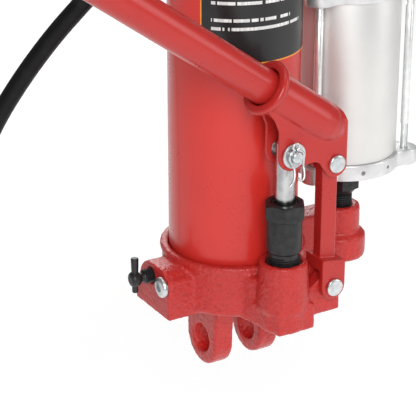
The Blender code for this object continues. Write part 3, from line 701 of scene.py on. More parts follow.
def smooth_curve(name: str, points: Sequence[Sequence[float]], radius: float, finish: Finish) -> bpy.types.Object:
    """A round wire or hose along points in millimetres, as one curve."""
    curve = bpy.data.curves.new(name, "CURVE")
    curve.dimensions = "3D"
    curve.bevel_depth = radius * MM
    curve.bevel_resolution = 6
    curve.use_fill_caps = True
    spline = curve.splines.new("POLY")
    spline.points.add(len(points) - 1)
    for spot, point in zip(spline.points, points):
        spot.co = (*(Vector(point) * MM), 1.0)
    spline.use_smooth = True
    curve.materials.append(finish.material())
    obj = bpy.data.objects.new(name, curve)
    bpy.context.scene.collection.objects.link(obj)
    return obj


def spaced(points: Sequence[Vector], step: float) -> list[Vector]:
    """Evenly spaced points on a Catmull-Rom curve through a route.

    Args:
        points: the route.
        step: the distance between the points that are returned.

    Returns:
        The spaced points.
    """
    ends = [points[0] * 2 - points[1]] + list(points) + [points[-1] * 2 - points[-2]]
    fine = []
    for a, b, c, d in zip(ends, ends[1:], ends[2:], ends[3:]):
        for i in range(12):
            t = i / 12
            fine.append(0.5 * (2 * b + (c - a) * t + (2 * a - 5 * b + 4 * c - d) * t * t
                               + (3 * b - a - 3 * c + d) * t ** 3))
    fine.append(points[-1])
    lengths = [0.0]
    for a, b in zip(fine, fine[1:]):
        lengths.append(lengths[-1] + (b - a).length)
    count = round(lengths[-1] / step)
    made, at = [], 0
    for number in range(count + 1):
        target = lengths[-1] * number / count
        while at < len(fine) - 2 and lengths[at + 1] < target:
            at += 1
        share = (target - lengths[at]) / (lengths[at + 1] - lengths[at])
        made.append(fine[at].lerp(fine[at + 1], min(share, 1.0)))
    return made


# ------------------------------------------------------------------ the studio


@dataclass
class Studio:
    """Camera, lights and floor."""

    azimuth: float = 30.8
    elevation: float = 23.27
    place: Point = (-549.4, -887.9, 542.3)
    lens: float = 142.5
    floor_drop: float = 330.0

    def build(self) -> None:
        """Sets everything up."""
        scene = bpy.context.scene
        scene.view_settings.view_transform = "Standard"
        self._camera(scene)
        self._world(scene)
        self._floor()
        self._lamp("key_light", (-950.0, -1800.0, 1250.0), 1100.0, 1400.0, 40.0)
        self._lamp("fill_light", (1500.0, -1300.0, 800.0), 900.0, 1600.0, 12.0)
        self._lamp("top_light", (100.0, 200.0, 2300.0), 1600.0, 1600.0, 14.0)
        self._lamp("rim_light", (800.0, 1900.0, 1100.0), 1200.0, 1500.0, 22.0)

    def _camera(self, scene: bpy.types.Scene) -> None:
        """The camera, looking along its azimuth and elevation."""
        camera = bpy.data.objects.new("camera", bpy.data.cameras.new("camera"))
        camera.data.lens = self.lens
        camera.data.sensor_width = 36.0
        camera.data.clip_end = 50.0
        az, el = math.radians(self.azimuth), math.radians(self.elevation)
        look = Vector((math.sin(az) * math.cos(el), math.cos(az) * math.cos(el), -math.sin(el)))
        camera.location = Vector(self.place) * MM
        camera.rotation_euler = look.to_track_quat("-Z", "Y").to_euler()
        scene.collection.objects.link(camera)
        scene.camera = camera

    def _world(self, scene: bpy.types.Scene) -> None:
        """Even pale surroundings."""
        world = bpy.data.worlds.new("studio")
        world.use_nodes = True
        world.node_tree.nodes["Background"].inputs["Color"].default_value = (1.0, 1.0, 1.0, 1.0)
        world.node_tree.nodes["Background"].inputs["Strength"].default_value = 0.17
        scene.world = world

    def _floor(self) -> None:
        """A wide floor well under the hanging jack."""
        bm = bmesh.new()
        bmesh.ops.create_grid(bm, x_segments=8, y_segments=8, size=9.0)
        bmesh.ops.translate(bm, vec=(0, 0, -self.floor_drop * MM), verts=bm.verts)
        mesh = bpy.data.meshes.new("studio_floor")
        bm.to_mesh(mesh)
        bm.free()
        mesh.materials.append(FLOOR.material())
        floor = bpy.data.objects.new("studio_floor", mesh)
        bpy.context.scene.collection.objects.link(floor)

    def _lamp(self, name: str, where: Point, width: float, height: float, power: float) -> None:
        """One soft box that faces the jack's middle."""
        data = bpy.data.lights.new(name, "AREA")
        data.shape = "RECTANGLE"
        data.size, data.size_y, data.energy = width * MM, height * MM, power
        lamp = bpy.data.objects.new(name, data)
        lamp.location = Vector(where) * MM
        lamp.rotation_euler = (Vector((0, 0, 0.15)) - lamp.location).to_track_quat("-Z", "Y").to_euler()
        bpy.context.scene.collection.objects.link(lamp)


# ------------------------------------------------------------------ sub-assemblies


@dataclass
class AirHose:
    """The hose, its ferrules and the lever valve that hangs on it."""

    nodes: dict
    radius: float = 6.75
    step: float = 16.0
    plane: float = -30.8
    ferrule: float = 22.0
    route: tuple = (
        (77.8, 46.4, 282.0), (74.0, 46.8, 304.4), (62.5, 48.5, 321.9), (45.5, 51.5, 333.8),
        (25.2, 55.0, 338.5), (4.7, 57.5, 335.2), (-13.2, 58.0, 324.0), (-40.0, 56.5, 295.3),
        (-64.0, 54.0, 268.7), (-87.0, 51.8, 243.1), (-108.1, 50.0, 219.7), (-120.7, 50.0, 205.4),
        (-132.3, 50.0, 190.9), (-143.1, 50.0, 176.3), (-153.1, 50.0, 161.6), (-163.7, 50.0, 144.5),
        (-173.0, 50.0, 126.5), (-181.0, 50.0, 105.5), (-187.0, 50.0, 82.5), (-190.5, 50.0, 58.0),
        (-192.0, 50.0, 32.0), (-192.3, 50.0, 5.0), (-192.3, 50.0, -24.0), (-192.3, 50.0, -55.0),
        (-192.3, 50.0, -88.0),
    )

    def _point(self, across: float, away: float, height: float) -> Vector:
        """From the hose's own plane to the frame's axes."""
        c, s = math.cos(math.radians(self.plane)), math.sin(math.radians(self.plane))
        return Vector((across * c - away * s, across * s + away * c, height))

    def build(self) -> None:
        """Makes the hose with everything on it."""
        line = spaced([self._point(*p) for p in self.route], self.step)
        straight = Vector((0, 0, 6.0))
        line = [line[0], line[0] + straight] + line[1:-1] + [line[-1] + straight, line[-1]]
        fine = spaced(line, 4.0)
        length = sum((b - a).length for a, b in zip(fine, fine[1:])) * MM
        hose = smooth_curve("hose", fine, self.radius, BLACK_RUBBER)
        settle(hose, BLACK_RUBBER, "root", "air_hose")
        start, end = fine[0], fine[-1]
        near = self._ferrule("motor_ferrule", "motor_hose_ferrule", start, Axis.UP, -self.ferrule)
        pieces = [near, self._ferrule("valve_ferrule", "valve_hose_ferrule", end, Axis.DOWN, -self.ferrule)]
        pieces += self._valve(end.x, end.y, end.z - self.ferrule)
        tuple(start * MM)

    def _ferrule(self, name: str, node: str, where: Vector, axis: Axis, back: float) -> bpy.types.Object:
        """A crimped sleeve on one end of the hose."""
        size = abs(back)
        profile: list[Point] = [(0, 0.3), (6.6, 0.3), (8.0, 1.6)]
        for ring in range(4):
            low = 4.0 + ring * 4.0
            profile += [(8.0, low), (7.2, low + 0.7), (7.2, low + 1.7), (8.0, low + 2.4)]
        profile += [(8.0, size - 1.5), (7.2, size - 0.4), (0, size - 0.4)]
        base = where - Vector(axis.value) * size if axis is Axis.UP else where
        shape = Blank.lathe(profile, MEDIUM, fillet=0.25)
        return shape.place(base, axis.turn()).piece(name, ZINC, "root", node)

    def _valve(self, x: float, y: float, low: float) -> list[bpy.types.Object]:
        """The valve body, its lever, pins and inlet plug."""
        body = Blank.lathe([(0, 0.3), (8.5, 0.3), (11.0, 4.0), (11.0, 30.0), (10.2, 31.0), (10.2, 33.0), (11.0, 34.0),
                            (13.0, 37.0), (13.0, 58.0), (9.0, 62.0), (0, 62.0)], MEDIUM, fillet=0.8)
        body.place((x, y, low), Axis.DOWN.turn())
        body.add(Blank.box((x - 20.0, y - 5.0, low - 16.0), (x, y + 5.0, low - 5.0)).bevel(0.8, 3))
        pieces = [body.piece("valve_body", CAST_ALLOY, "root", "air_valve_body")]
        push = Blank.lathe([(0, 6.0), (3.0, 6.0), (3.0, 15.0), (2.0, 15.5), (0, 15.5)], COARSE, fillet=0.5)
        pieces.append(push.place((x, y, low - 47.5), Axis.LEFT.turn()).piece("push_pin_tip", ZINC, "push_pin",
                                                                           "valve_push_pin"))
        lever = Blank.of_node(self.nodes["valve_lever"]).cast(0.5, 2)
        pieces.append(lever.piece("trigger_lever", ZINC, "air_lever", "valve_lever"))
        for node, finish in (("valve_lever_pin", STEEL), ("air_inlet_plug", ZINC)):
            self.nodes[node].data.materials.clear()
            self.nodes[node].data.materials.append(finish.material())
            pieces.append(self.nodes[node])
        return pieces


@dataclass
class Base:
    """The cast base with its release valve and plug."""

    nodes: dict
    boss: float = -64.0
    valve: Point = (3.0, 56.5)
    plug: Point = (-14.8, 54.9)

    def build(self) -> None:
        """Makes the casting and what is screwed into it."""
        casting = Blank.of_node(self.nodes["base_casting"])
        # Beads of weld and fillet that the casting has where its masses meet.
        casting.add(
            Blank.lathe([(44.8, 66.0), (50.6, 66.0), (51.0, 69.0), (50.2, 71.0), (44.8, 71.0)], FINE, True, 0.8),
            Blank.bar([(-20.0, -40.0), (-18.5, -49.5), (-12.3, -79.0), (10.0, -79.0), (10.0, -40.0)], 32.0, 48.5),
            Blank.bar([(-21.0, -38.0), (-18.5, -49.5), (-14.5, -58.0), (10.0, -58.0), (10.0, -38.0)], 33.0, 65.5),
            Blank.box((-62.5, -21.8, 46.0), (-45.0, -8.0, 61.0)),
            Blank.lathe([(11.7, 46.0), (18.2, 46.0), (17.4, 60.0), (16.6, 74.0), (15.8, 80.0), (11.7, 80.0)], MEDIUM, True)
            .place((0, -64, 0)),
        )
        casting.cast(0.9, 10).pit(0.34, 2.5)
        casting.piece("cast_base", CAST_RED, "root", "base_casting", sharp=80.0)
        self._release_screw()
        self._plug()

    def _release_screw(self) -> None:
        """The threaded spindle, its hub and the bar through it."""
        y, z = self.valve
        core = Blank.lathe([(0, -17.0), (3.0, -14.0), (4.2, -13.0), (4.2, 5.4), (3.6, 6.4), (3.0, 7.0), (3.0, 8.2),
                            (4.4, 9.0), (5.2, 10.4), (5.5, 12.0), (5.3, 13.8), (4.4, 15.2), (2.5, 15.8), (0, 15.8)],
                           MEDIUM, fillet=0.3)
        core.add(Blank.thread(4.2, 5.0, 1.5, -12.0, 6.2))
        core.place((self.boss, y, z), Axis.LEFT.turn())
        core.piece("release_spindle", BLACK_OXIDE, "release_valve", "release_valve_screw")
        bar = Blank.lathe([(0, -12.8), (1.7, -12.8), (2.1, -12.2), (2.3, 0), (2.7, 12.2), (2.2, 12.9), (0, 12.9)],
                          MEDIUM, fillet=0.3)
        bar.place((self.boss - 12.0, y, z + 2.8)).piece("release_bar", BLACK_OXIDE, "release_valve", "release_valve_bar")

    def _plug(self) -> None:
        """Zinc plug with a domed head and a hexagon socket."""
        y, z = self.plug
        head = Blank.lathe([(0, -9.0), (5.8, -9.0), (5.8, 0.3), (7.2, 0.3), (7.3, 1.6), (6.7, 2.9), (5.2, 3.5),
                            (0, 3.7)], MEDIUM, fillet=0.5)
        head.combine(Cut.REMOVE, Blank.bar(arc((0, 0), 3.1, 0, 300, 5), 1.4, 8.0))
        head.place((self.boss, y, z), Axis.LEFT.turn())
        head.piece("boss_plug", ZINC, "root", "safety_valve_plug", sharp=30.0)


@dataclass
class Reservoir:
    """The main tube with its label, gland, ram and top clevis."""

    nodes: dict
    radius: float = 44.5
    seat: float = 50.3
    top: float = 566.0
    gland_top: float = 578.0
    rod: float = 18.0
    label_from: float = 209.7
    label_to: float = 337.0
    label_low: float = 211.7
    label_top: float = 430.0

    def build(self) -> None:
        """Makes every piece that shows."""
        r = self.radius
        Blank.lathe([(r - 3.0, self.seat), (r, self.seat), (r, self.top), (r - 3.0, self.top)], 160, True, 0.5).piece(
            "main_tube", TUBE_RED, "root", "reservoir_tube")
        self._gland()
        Blank.lathe([(18.4, 574.3), (22.7, 574.3), (22.7, 578.4), (20.6, 579.6), (18.4, 579.2)], FINE, True, 0.4).piece(
            "wiper_ring", BLACK_RUBBER, "root", "rod_wiper")
        Blank.lathe([(0, 58.5), (12.0, 58.5), (12.0, 70.8), (self.rod, 70.8), (self.rod, 585.8), (16.8, 587.0),
                     (13.0, 587.0), (13.0, 599.0), (0, 599.0)], FINE, fillet=0.4).piece(
            "ram", CHROME, "ram", "ram_rod")
        Blank.of_node(self.nodes["top_clevis"]).cast(0.85, 5).pit(0.16, 3.2).piece(
            "top_fork", CAST_RED, "top_clevis", "top_clevis", sharp=80.0)
        screw = Blank.lathe([(0, 13.6), (2.5, 13.6), (2.5, 24.6), (0, 24.6)], COARSE, fillet=0.3)
        screw.combine(Cut.REMOVE, Blank.bar(arc((0, 0), 1.4, 0, 300, 5), 22.4, 30.0))
        screw.place((0, 0, 593.0), Axis.AWAY.turn()).piece("fork_screw", BLACK_OXIDE, "top_clevis", "clevis_set_screw")
        filler = Blank.lathe([(0, 0.3), (8.5, 0.3), (8.6, 2.6), (7.4, 4.2), (4.6, 5.0), (0, 5.2)], MEDIUM, fillet=0.5)
        filler.combine(Cut.REMOVE, Blank.box((-6.0, -0.9, 4.0), (6.0, 0.9, 8.0)))
        filler.place((0, r, 520.0), Axis.AWAY.turn()).piece("filler_plug", BLACK_RUBBER, "root", "oil_filler_plug")
        self._label()

    def _gland(self) -> None:
        """The gland nut, with four slots for a hook spanner."""
        inner = 41.2
        nut = Blank.lathe([(18.8, 556.0), (inner, 556.0), (inner, 566.3), (44.0, 566.3), (44.0, 575.0), (41.0, 578.0),
                           (23.0, 578.0), (23.0, 574.0), (18.8, 574.0)], FINE, True, 0.5)
        slots = [Blank.box((36.5, -3.5, 572.5), (50.0, 3.5, 582.0)).place(turn=Matrix.Rotation(
            math.radians(45 + 90 * i), 4, "Z")) for i in range(4)]
        nut.combine(Cut.REMOVE, *slots).piece("gland", TUBE_RED, "root", "gland_nut", sharp=30.0)

    def _label(self) -> None:
        """The printed band, with a UV map that is unrolled from it."""
        inner, outer = self.radius + 0.3, self.radius + 0.65
        band = Blank.lathe([(inner, self.label_low), (outer, self.label_low), (outer, self.label_top),
                            (inner, self.label_top)], 96, True, 0.0, self.label_to - self.label_from, self.label_from)
        piece = band.piece("printed_label", FILM, "root", "tube_label", sharp=30.0)
        layer = piece.data.uv_layers.new(name="print")
        sweep = self.label_to - self.label_from
        for loop in piece.data.loops:
            spot = piece.data.vertices[loop.vertex_index].co / MM
            angle = math.degrees(math.atan2(spot.y, spot.x)) % 360.0
            layer.data[loop.index].uv = ((angle - self.label_from) / sweep,
                                         (spot.z - self.label_low) / (self.label_top - self.label_low))


@dataclass
class HandPump:
    """Pump barrel, plunger, link and the socket that the handle goes in."""

    nodes: dict
    y: float = -64.0
    hex_low: float = 86.5
    hex_top: float = 120.8
    flats: float = 25.1
    pin_z: float = 156.9
    link_x: float = 34.0
    link_low: float = 55.7
    link_top: float = 144.4
    ear: float = 8.75
    gap: float = 6.8
    lean: float = 2.6
    slope: float = math.radians(35.5)
    mouth: Point = (-17.5, 203.9)

    def on_handle(self, shape: Blank) -> Blank:
        """Lays a turned shape along the handle, from the socket's mouth up."""
        up = turn_to((-math.cos(self.slope), 0, math.sin(self.slope)))
        return shape.place((self.mouth[0], self.y, self.mouth[1]), up)

    def build(self) -> None:
        """Makes every piece."""
        self._barrel()
        self._plunger()
        self._clip()
        self._link()
        self._socket()

    def _barrel(self) -> None:
        """The black pump barrel: thread, groove, round body and hexagon."""
        low, top = self.hex_low, self.hex_top
        body = Blank.lathe([(6.6, 60.3), (10.4, 60.3), (10.4, low - 2.6), (10.4, low), (11.2, low + 0.4),
                            (11.95, low + 1.6), (11.95, top - 8.0), (6.6, top - 8.0)], FINE, True, 0.25)
        head = Blank.hexagon(self.flats, top - 10.4, top + 0.9, 1.9)
        head.combine(Cut.REMOVE, Blank.lathe([(0, top - 20.0), (6.6, top - 20.0), (6.6, top - 4.0), (9.3, top - 4.0),
                                              (9.3, top + 6.0), (0, top + 6.0)], MEDIUM))
        head.bevel(0.35, 2, 28.0)
        body.add(head, Blank.thread(10.4, 11.35, 1.5, 61.0, low - 2.0, 40))
        body.place((0, self.y, 0)).piece("barrel", BLACK_OXIDE, "root", "pump_barrel", sharp=34.0)
        Blank.lathe([(6.75, top - 3.7), (9.0, top - 3.7), (9.0, top + 0.2), (8.0, top + 1.0), (6.75, top + 0.5)],
                    MEDIUM, True, 0.3).place((0, self.y, 0)).piece("plunger_wiper", BLACK_RUBBER, "root", "pump_seal")

    def _plunger(self) -> None:
        """The chrome plunger, its pin and the washer."""
        rod = Blank.lathe([(0, 94.0), (6.5, 94.0), (6.5, 163.5), (5.0, 165.0), (0, 165.0)], FINE, fillet=0.5)
        rod.place((0, self.y, 0)).piece("plunger", CHROME_SHADED_COPY, "plunger", "pump_plunger")
        front, back = self.y - self.ear, self.y + self.ear
        pin = Blank.lathe([(0, front - 6.5), (3.3, front - 6.5), (4.0, front - 5.7), (4.0, back + 0.5),
                           (6.2, back + 0.5), (6.2, back + 2.7), (0, back + 2.7)], MEDIUM, fillet=0.35)
        pin.place((0, 0, self.pin_z), Axis.AWAY.turn()).piece("cross_pin", ZINC, "plunger", "plunger_pin")
        washer = Blank.lathe([(4.3, front - 1.9), (8.5, front - 1.9), (8.5, front - 0.4), (4.3, front - 0.4)],
                             MEDIUM, True, 0.4)
        washer.place((0, 0, self.pin_z), Axis.AWAY.turn()).piece("washer", ZINC, "plunger", "pin_washer")

    def _clip(self) -> None:
        """Hairpin clip: an eye above the pin, two legs round it, and hooked ends below."""
        eye = arc((-0.4, 7.0), 2.3, 250, -70, 12)
        loop = ([(-6.0, -18.4), (-4.8, -17.0), (-2.9, -13.7), (-1.9, -10.0), (-1.8, -6.8), (-3.8, -3.6),
                 (-5.1, -0.4), (-4.4, 3.0)] + eye
                + [(4.4, 3.0), (5.3, -0.4), (5.2, -3.5), (5.1, -6.5), (4.9, -10.8), (4.1, -14.0), (2.7, -15.3),
                   (0.9, -14.7), (-0.5, -13.2)])
        depth = self.y - self.ear - 3.6
        line = []
        for i, (x, z) in enumerate(loop):
            lean = self.lean * max(0.0, min(1.0, (-7.0 - z) / 6.0))
            line.append(Vector((x, depth - lean - 0.8 * (i / len(loop)), self.pin_z + z)))
        wire = smooth_curve("spring_clip", spaced(line, 0.7), 0.78, ZINC)
        settle(wire, ZINC, "plunger", "hitch_clip")

    def _link(self) -> None:
        """The swing link, melted from its bar and its fork, and the two headed pins."""
        Blank.of_node(self.nodes["pump_link"]).cast(0.5, 3).piece(
            "swing_link", TUBE_RED_SHADED_COPY, "link", "pump_link", sharp=80.0)
        for name, node, body, height, half in (
            ("lower_pin", "link_lower_pin", "root", self.link_low, 10.4),
            ("upper_pin", "link_upper_pin", "link", self.link_top, self.ear),
        ):
            pin = Blank.lathe([(0, -half - 2.5), (5.2, -half - 2.5), (6.1, -half - 2.0), (6.1, -half - 0.4),
                               (4.0, -half - 0.4), (4.0, half + 0.4), (5.4, half + 0.4), (5.2, half + 1.6),
                               (0, half + 1.6)], MEDIUM, fillet=0.35)
            pin.place((self.link_x, self.y, height), Axis.AWAY.turn()).piece(name, ZINC, body, node)

    def _along(self, distance: float, below: float) -> Point:
        """A point under the handle's axis, this far down from the mouth."""
        x = self.mouth[0] + distance * math.cos(self.slope)
        z = self.mouth[1] - distance * math.sin(self.slope)
        return (x, z - below / math.cos(self.slope))

    def _socket(self) -> None:
        """Tube, flared mouth and two ear plates, melted into one pressed piece."""
        ears = (arc((0, self.pin_z), 11.0, 170, 290, 14) + arc((15.0, 137.0), 11.5, 105, 60, 6)
                + arc((self.link_x, self.link_top), 9.6, 215, 360, 14)
                + [(43.6, 172.4), (-17.0, 205.0), (-20.0, 190.0), (-14.0, 182.5), (-10.6, 174.5)])
        shape = Blank.sheet(ears, self.y - self.ear, self.y + self.ear)
        tube = Blank.lathe([(0, -74.0), (4.5, -73.0), (8.8, -69.0), (11.6, -64.0), (13.6, -57.0), (14.3, -49.0),
                            (14.3, -1.0), (0, -1.0)], MEDIUM)
        # The crown keeps the tube's upper line where the tube itself fades into the ears.
        crown = Blank.lathe([(0, -90.0), (self.ear, -90.0), (self.ear, -1.0), (0, -1.0)], MEDIUM)
        crown.place((14.3 - self.ear, 0, 0))
        corner = arc((31.8, 172.4), 11.0, 0, 54.5, 10) + [(46.0, 200.0), (70.0, 200.0), (70.0, 172.4)]
        mouth = Blank.lathe([(0, -8.5), (13.6, -8.5), (15.2, -6.6), (17.6, -4.9), (18.7, -3.4), (18.9, -1.8),
                             (18.0, -0.4), (16.4, 0.2), (0, 0.2)], MEDIUM)
        shape.combine(Cut.JOIN, self.on_handle(tube), self.on_handle(crown), self.on_handle(mouth))
        slot = [(-30.0, 120.0), (60.0, 120.0), (60.0, 155.5), (43.0, 155.5), self._along(40.0, 13.7),
                self._along(-4.0, 13.7), (-30.0, 183.0)]
        across = Axis.AWAY.turn()
        shape.combine(
            Cut.REMOVE,
            self.on_handle(Blank.lathe([(0, -42.0), (12.3, -42.0), (12.3, -2.0), (13.6, 1.2), (13.6, 10.0), (0, 10.0)],
                                       MEDIUM)),
            Blank.sheet(slot, self.y - self.gap, self.y + self.gap),
            Blank.box((42.8, self.y - 20.0, 120.0), (80.0, self.y + 20.0, 200.0)),
            Blank.sheet(corner, self.y - 20.0, self.y + 20.0),
            Blank.lathe([(0, -20), (6.0, -20), (6.0, 20), (0, 20)], COARSE).place((0, self.y, self.pin_z), across),
            Blank.lathe([(0, -20), (4.1, -20), (4.1, 20), (0, 20)], COARSE).place(
                (self.link_x, self.y, self.link_top), across),
        )
        shape.cast(0.55, 4).piece("lever_socket", TUBE_RED_SHADED_COPY, "lever", "handle_socket", sharp=80.0)


@dataclass
class Handle:
    """The two-piece handle with its button and grip."""

    pump: HandPump
    radius: float = 11.75
    into: float = 40.0
    lower: float = 360.0
    upper: float = 610.0

    def build(self) -> None:
        """Makes every piece."""
        r, on = self.radius, self.pump.on_handle
        on(Blank.lathe([(r - 1.6, -self.into), (r, -self.into), (r, self.lower), (r - 1.6, self.lower)], FINE, True,
                       0.5)).piece("lower_tube", TUBE_RED_SHADED_COPY, "handle", "handle_lower_tube")
        inner = r - 1.9
        on(Blank.lathe([(inner - 1.6, self.lower - 70.0), (inner, self.lower - 70.0), (inner, self.upper),
                        (inner - 1.6, self.upper)], FINE, True, 0.5)).piece(
            "upper_tube", TUBE_RED_SHADED_COPY, "handle", "handle_upper_tube")
        slope = self.pump.slope
        spot = Vector((self.pump.mouth[0], 0, self.pump.mouth[1])) + (self.lower - 20.0) * Vector(
            (-math.cos(slope), 0, math.sin(slope)))
        button = Blank.lathe([(0, r - 1.5), (2.6, r - 1.5), (2.6, r + 0.8), (1.6, r + 1.8), (0, r + 2.1)], COARSE,
                             fillet=0.4)
        button.place((spot.x, self.pump.y, spot.z), turn_to((math.sin(slope), 0, math.cos(slope)))).piece(
            "snap_button", ZINC, "handle", "handle_snap_button")
        self._grip()

    def _grip(self) -> None:
        """Rubber sleeve with moulded rings and a closed end."""
        r, top = self.radius, self.upper
        profile: list[Point] = [(0, top + 5.0), (r - 2.0, top + 5.0), (r + 1.4, top + 2.4)]
        for ring in range(12):
            high = top - 4.0 - ring * 8.0
            profile += [(r + 1.5, high), (r + 0.5, high - 1.0), (r + 0.5, high - 3.0), (r + 1.5, high - 4.0)]
        profile += [(r + 1.5, top - 102.0), (r + 0.6, top - 105.0), (r - 1.6, top - 105.0), (r - 1.6, top + 0.3),
                    (0, top + 0.3)]
        self.pump.on_handle(Blank.lathe(profile, MEDIUM, fillet=0.5)).piece(
            "grip", BLACK_RUBBER, "handle", "handle_grip")


@dataclass
class AirMotor:
    """Air motor: adapter, flange, barrel, cap, tie rods and inlet fitting."""

    nodes: dict
    x: float = 90.6
    radius: float = 37.6
    flange_low: float = 110.0
    flange_top: float = 121.0
    cap_low: float = 236.0
    cap_top: float = 249.5
    disc: float = 39.6
    circle: float = 43.4
    lobe: float = 9.6
    blend: float = 5.0
    rods: tuple = (90.0, 210.0, 330.0)

    def _outline(self, steps: int = 240) -> list[Point]:
        """A disc that swells smoothly into a lobe at each tie rod."""
        made = []
        edge = math.asin(self.lobe / self.circle) * 0.98
        for i in range(steps):
            angle = math.tau * i / steps
            off = min(abs((angle - math.radians(a) + math.pi) % math.tau - math.pi) for a in self.rods)
            inside = min(off, edge)
            side = self.circle * math.sin(inside)
            bulge = self.circle * math.cos(inside) + math.sqrt(max(self.lobe ** 2 - side ** 2, 0.0))
            bulge -= 60.0 * max(0.0, off - edge)
            share = max(0.0, min(1.0, 0.5 + 0.5 * (bulge - self.disc) / self.blend))
            reach = self.disc + (bulge - self.disc) * share + self.blend * share * (1 - share)
            made.append((reach * math.cos(angle), reach * math.sin(angle)))
        return made

    def _plate(self, low: float, high: float) -> Blank:
        """One end plate with its rim bevelled and bored for the tie rods."""
        plate = Blank.bar(self._outline(), low, high).bevel(0.7, 3, 60.0)
        holes = []
        for angle in self.rods:
            a = math.radians(angle)
            holes.append(Blank.lathe([(0, low - 5), (3.1, low - 5), (3.1, high + 5), (0, high + 5)], COARSE).place(
                (self.circle * math.cos(a), self.circle * math.sin(a), 0)))
        return plate.combine(Cut.REMOVE, *holes)

    def build(self) -> None:
        """Makes every piece."""
        axis = (self.x, 0, 0)
        self._adapter()
        flange = self._plate(self.flange_low, self.flange_top)
        flange.combine(Cut.REMOVE, *[self._rim_hole(a, size) for a, size in ((-103.0, 1.6), (-71.0, 1.3), (60.0, 1.6))])
        flange.combine(Cut.REMOVE, self._rod_hole(self._bore()))
        flange.place(axis).piece("motor_flange", CAST_ALLOY, "root", "motor_base_flange", sharp=30.0)
        r = self.radius
        Blank.lathe([(r - 2.5, self.flange_top + 0.3), (r, self.flange_top + 0.3), (r, self.cap_low - 0.3),
                     (r - 2.5, self.cap_low - 0.3)], 160, True, 0.4).place(axis).piece(
            "motor_tube", SATIN, "root", "motor_barrel")
        cap = self._plate(self.cap_low, self.cap_low + 11.0)
        cap.add(Blank.lathe([(6.8, self.cap_low + 6.0), (36.0, self.cap_low + 6.0), (36.0, self.cap_low + 10.9),
                             (34.0, self.cap_top - 1.4), (31.0, self.cap_top), (14.0, self.cap_top),
                             (12.5, self.cap_top + 2.0), (6.8, self.cap_top + 2.0)], FINE, True, 0.6))
        cap.place(axis).piece("motor_cap", CAST_ALLOY, "root", "motor_top_cap", sharp=30.0)
        for number, angle in enumerate(self.rods, 1):
            self._tie_rod(number, math.radians(angle))
        self._fitting()
        for node, finish in (("motor_piston", CAST_ALLOY), ("motor_piston_seal", BLACK_RUBBER),
                             ("motor_piston_rod", CHROME), ("return_spring", STEEL), ("pressure_cylinder", STEEL),
                             ("ram_piston", STEEL), ("piston_seal", BLACK_RUBBER)):
            self.nodes[node].data.materials.clear()
            self.nodes[node].data.materials.append(finish.material())

    @staticmethod
    def _bore() -> float:
        """The radius that the piston rod slides in."""
        low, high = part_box("motor_piston_rod")
        return (high.x - low.x) / 2 / MM + 0.4

    @staticmethod
    def _rod_hole(bore: float) -> Blank:
        """The drilling through which the piston rod comes down."""
        return Blank.lathe([(0, 40.0), (bore, 40.0), (bore, 140.0), (0, 140.0)], MEDIUM)

    def _rim_hole(self, angle: float, size: float) -> Blank:
        """The drilling for a set screw in the flange's rim."""
        a = math.radians(angle)
        drill = Blank.lathe([(0, 35.0), (size - 0.4, 35.2), (size, 36.0), (size, 45.0), (0, 45.0)], COARSE)
        height = (self.flange_low + self.flange_top) / 2
        return drill.place((0, 0, height), turn_to((math.cos(a), math.sin(a), 0)))

    def _adapter(self) -> None:
        """The black screwed adapter under the flange: hexagon, cone and thread."""
        bore = self._bore()
        core = Blank.lathe([(bore, 60.0), (7.5, 60.0), (7.5, 86.2), (8.6, 87.0), (12.4, 91.6), (12.4, 96.0),
                            (bore, 96.0)], MEDIUM, True, 0.3)
        head = Blank.hexagon(24.2, 91.4, self.flange_low - 0.3, 0.6)
        head.combine(Cut.REMOVE, self._rod_hole(bore))
        core.add(head, Blank.thread(7.5, 8.35, 1.6, 61.0, 86.6))
        core.place((self.x, 0, 0)).piece("adapter", BLACK_OXIDE, "root", "motor_adapter", sharp=34.0)

    def _tie_rod(self, number: int, angle: float) -> None:
        """One tie rod with threads at both ends, its nut and its place."""
        where = (self.x + self.circle * math.cos(angle), self.circle * math.sin(angle), 0)
        low, high = self.flange_low + 0.5, self.cap_low + 19.0
        rod = Blank.lathe([(0, low), (2.2, low), (2.45, low + 0.5), (2.45, low + 28.0), (2.8, low + 28.6),
                           (2.8, self.cap_low - 12.0), (2.45, self.cap_low - 11.4), (2.45, high - 0.5), (2.0, high),
                           (0, high)], COARSE)
        rod.add(Blank.thread(2.45, 2.8, 1.0, low + 1.0, low + 28.0, 20),
                Blank.thread(2.45, 2.8, 1.0, self.cap_low - 11.4, high - 0.4, 20))
        rod.place(where).piece(f"rod_{number}", ZINC_LIT_COPY, "root", f"tie_rod_{number}", sharp=50.0)
        base = self.cap_low + 11.3
        nut = Blank.hexagon(10.0, base, base + 5.2, 0.8)
        nut.combine(Cut.REMOVE, Blank.lathe([(0, base - 2), (2.9, base - 2), (2.9, base + 9), (0, base + 9)], COARSE))
        nut.place(where).piece(f"nut_{number}", ZINC, "root", f"tie_rod_nut_{number}", sharp=30.0)

    def _fitting(self) -> None:
        """The brass hexagon fitting that the hose is crimped on."""
        top = self.cap_top + 2.3
        body = Blank.lathe([(0, self.cap_low + 6.5), (6.2, self.cap_low + 6.5), (6.2, top), (5.8, top + 2.0),
                            (5.8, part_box("motor_inlet_fitting")[1].z / MM), (0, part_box("motor_inlet_fitting")[1].z / MM)],
                           MEDIUM, fillet=0.2)
        body.add(Blank.hexagon(16.0, top, top + 6.7, 1.0))
        body.place((self.x, 0, 0)).piece("inlet_fitting", BRASS, "root", "motor_inlet_fitting", sharp=30.0)


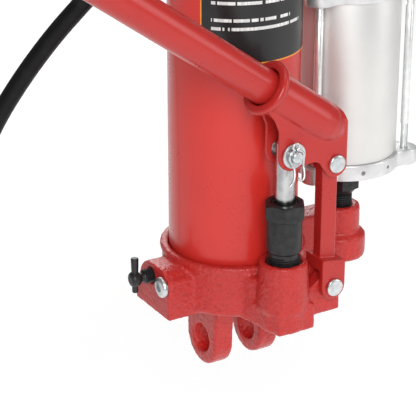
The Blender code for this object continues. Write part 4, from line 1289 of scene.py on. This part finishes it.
def main() -> None:
    """Builds the whole jack round the frame."""
    logging.basicConfig(level=logging.INFO, format="%(name)s: %(message)s")
    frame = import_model()
    nodes = frame["nodes"]
    Studio().build()
    AirHose(nodes).build()
    Base(nodes).build()
    Reservoir(nodes).build()
    pump = HandPump(nodes)
    pump.build()
    Handle(pump).build()
    AirMotor(nodes).build()


if __name__ == "__main__":
    main()
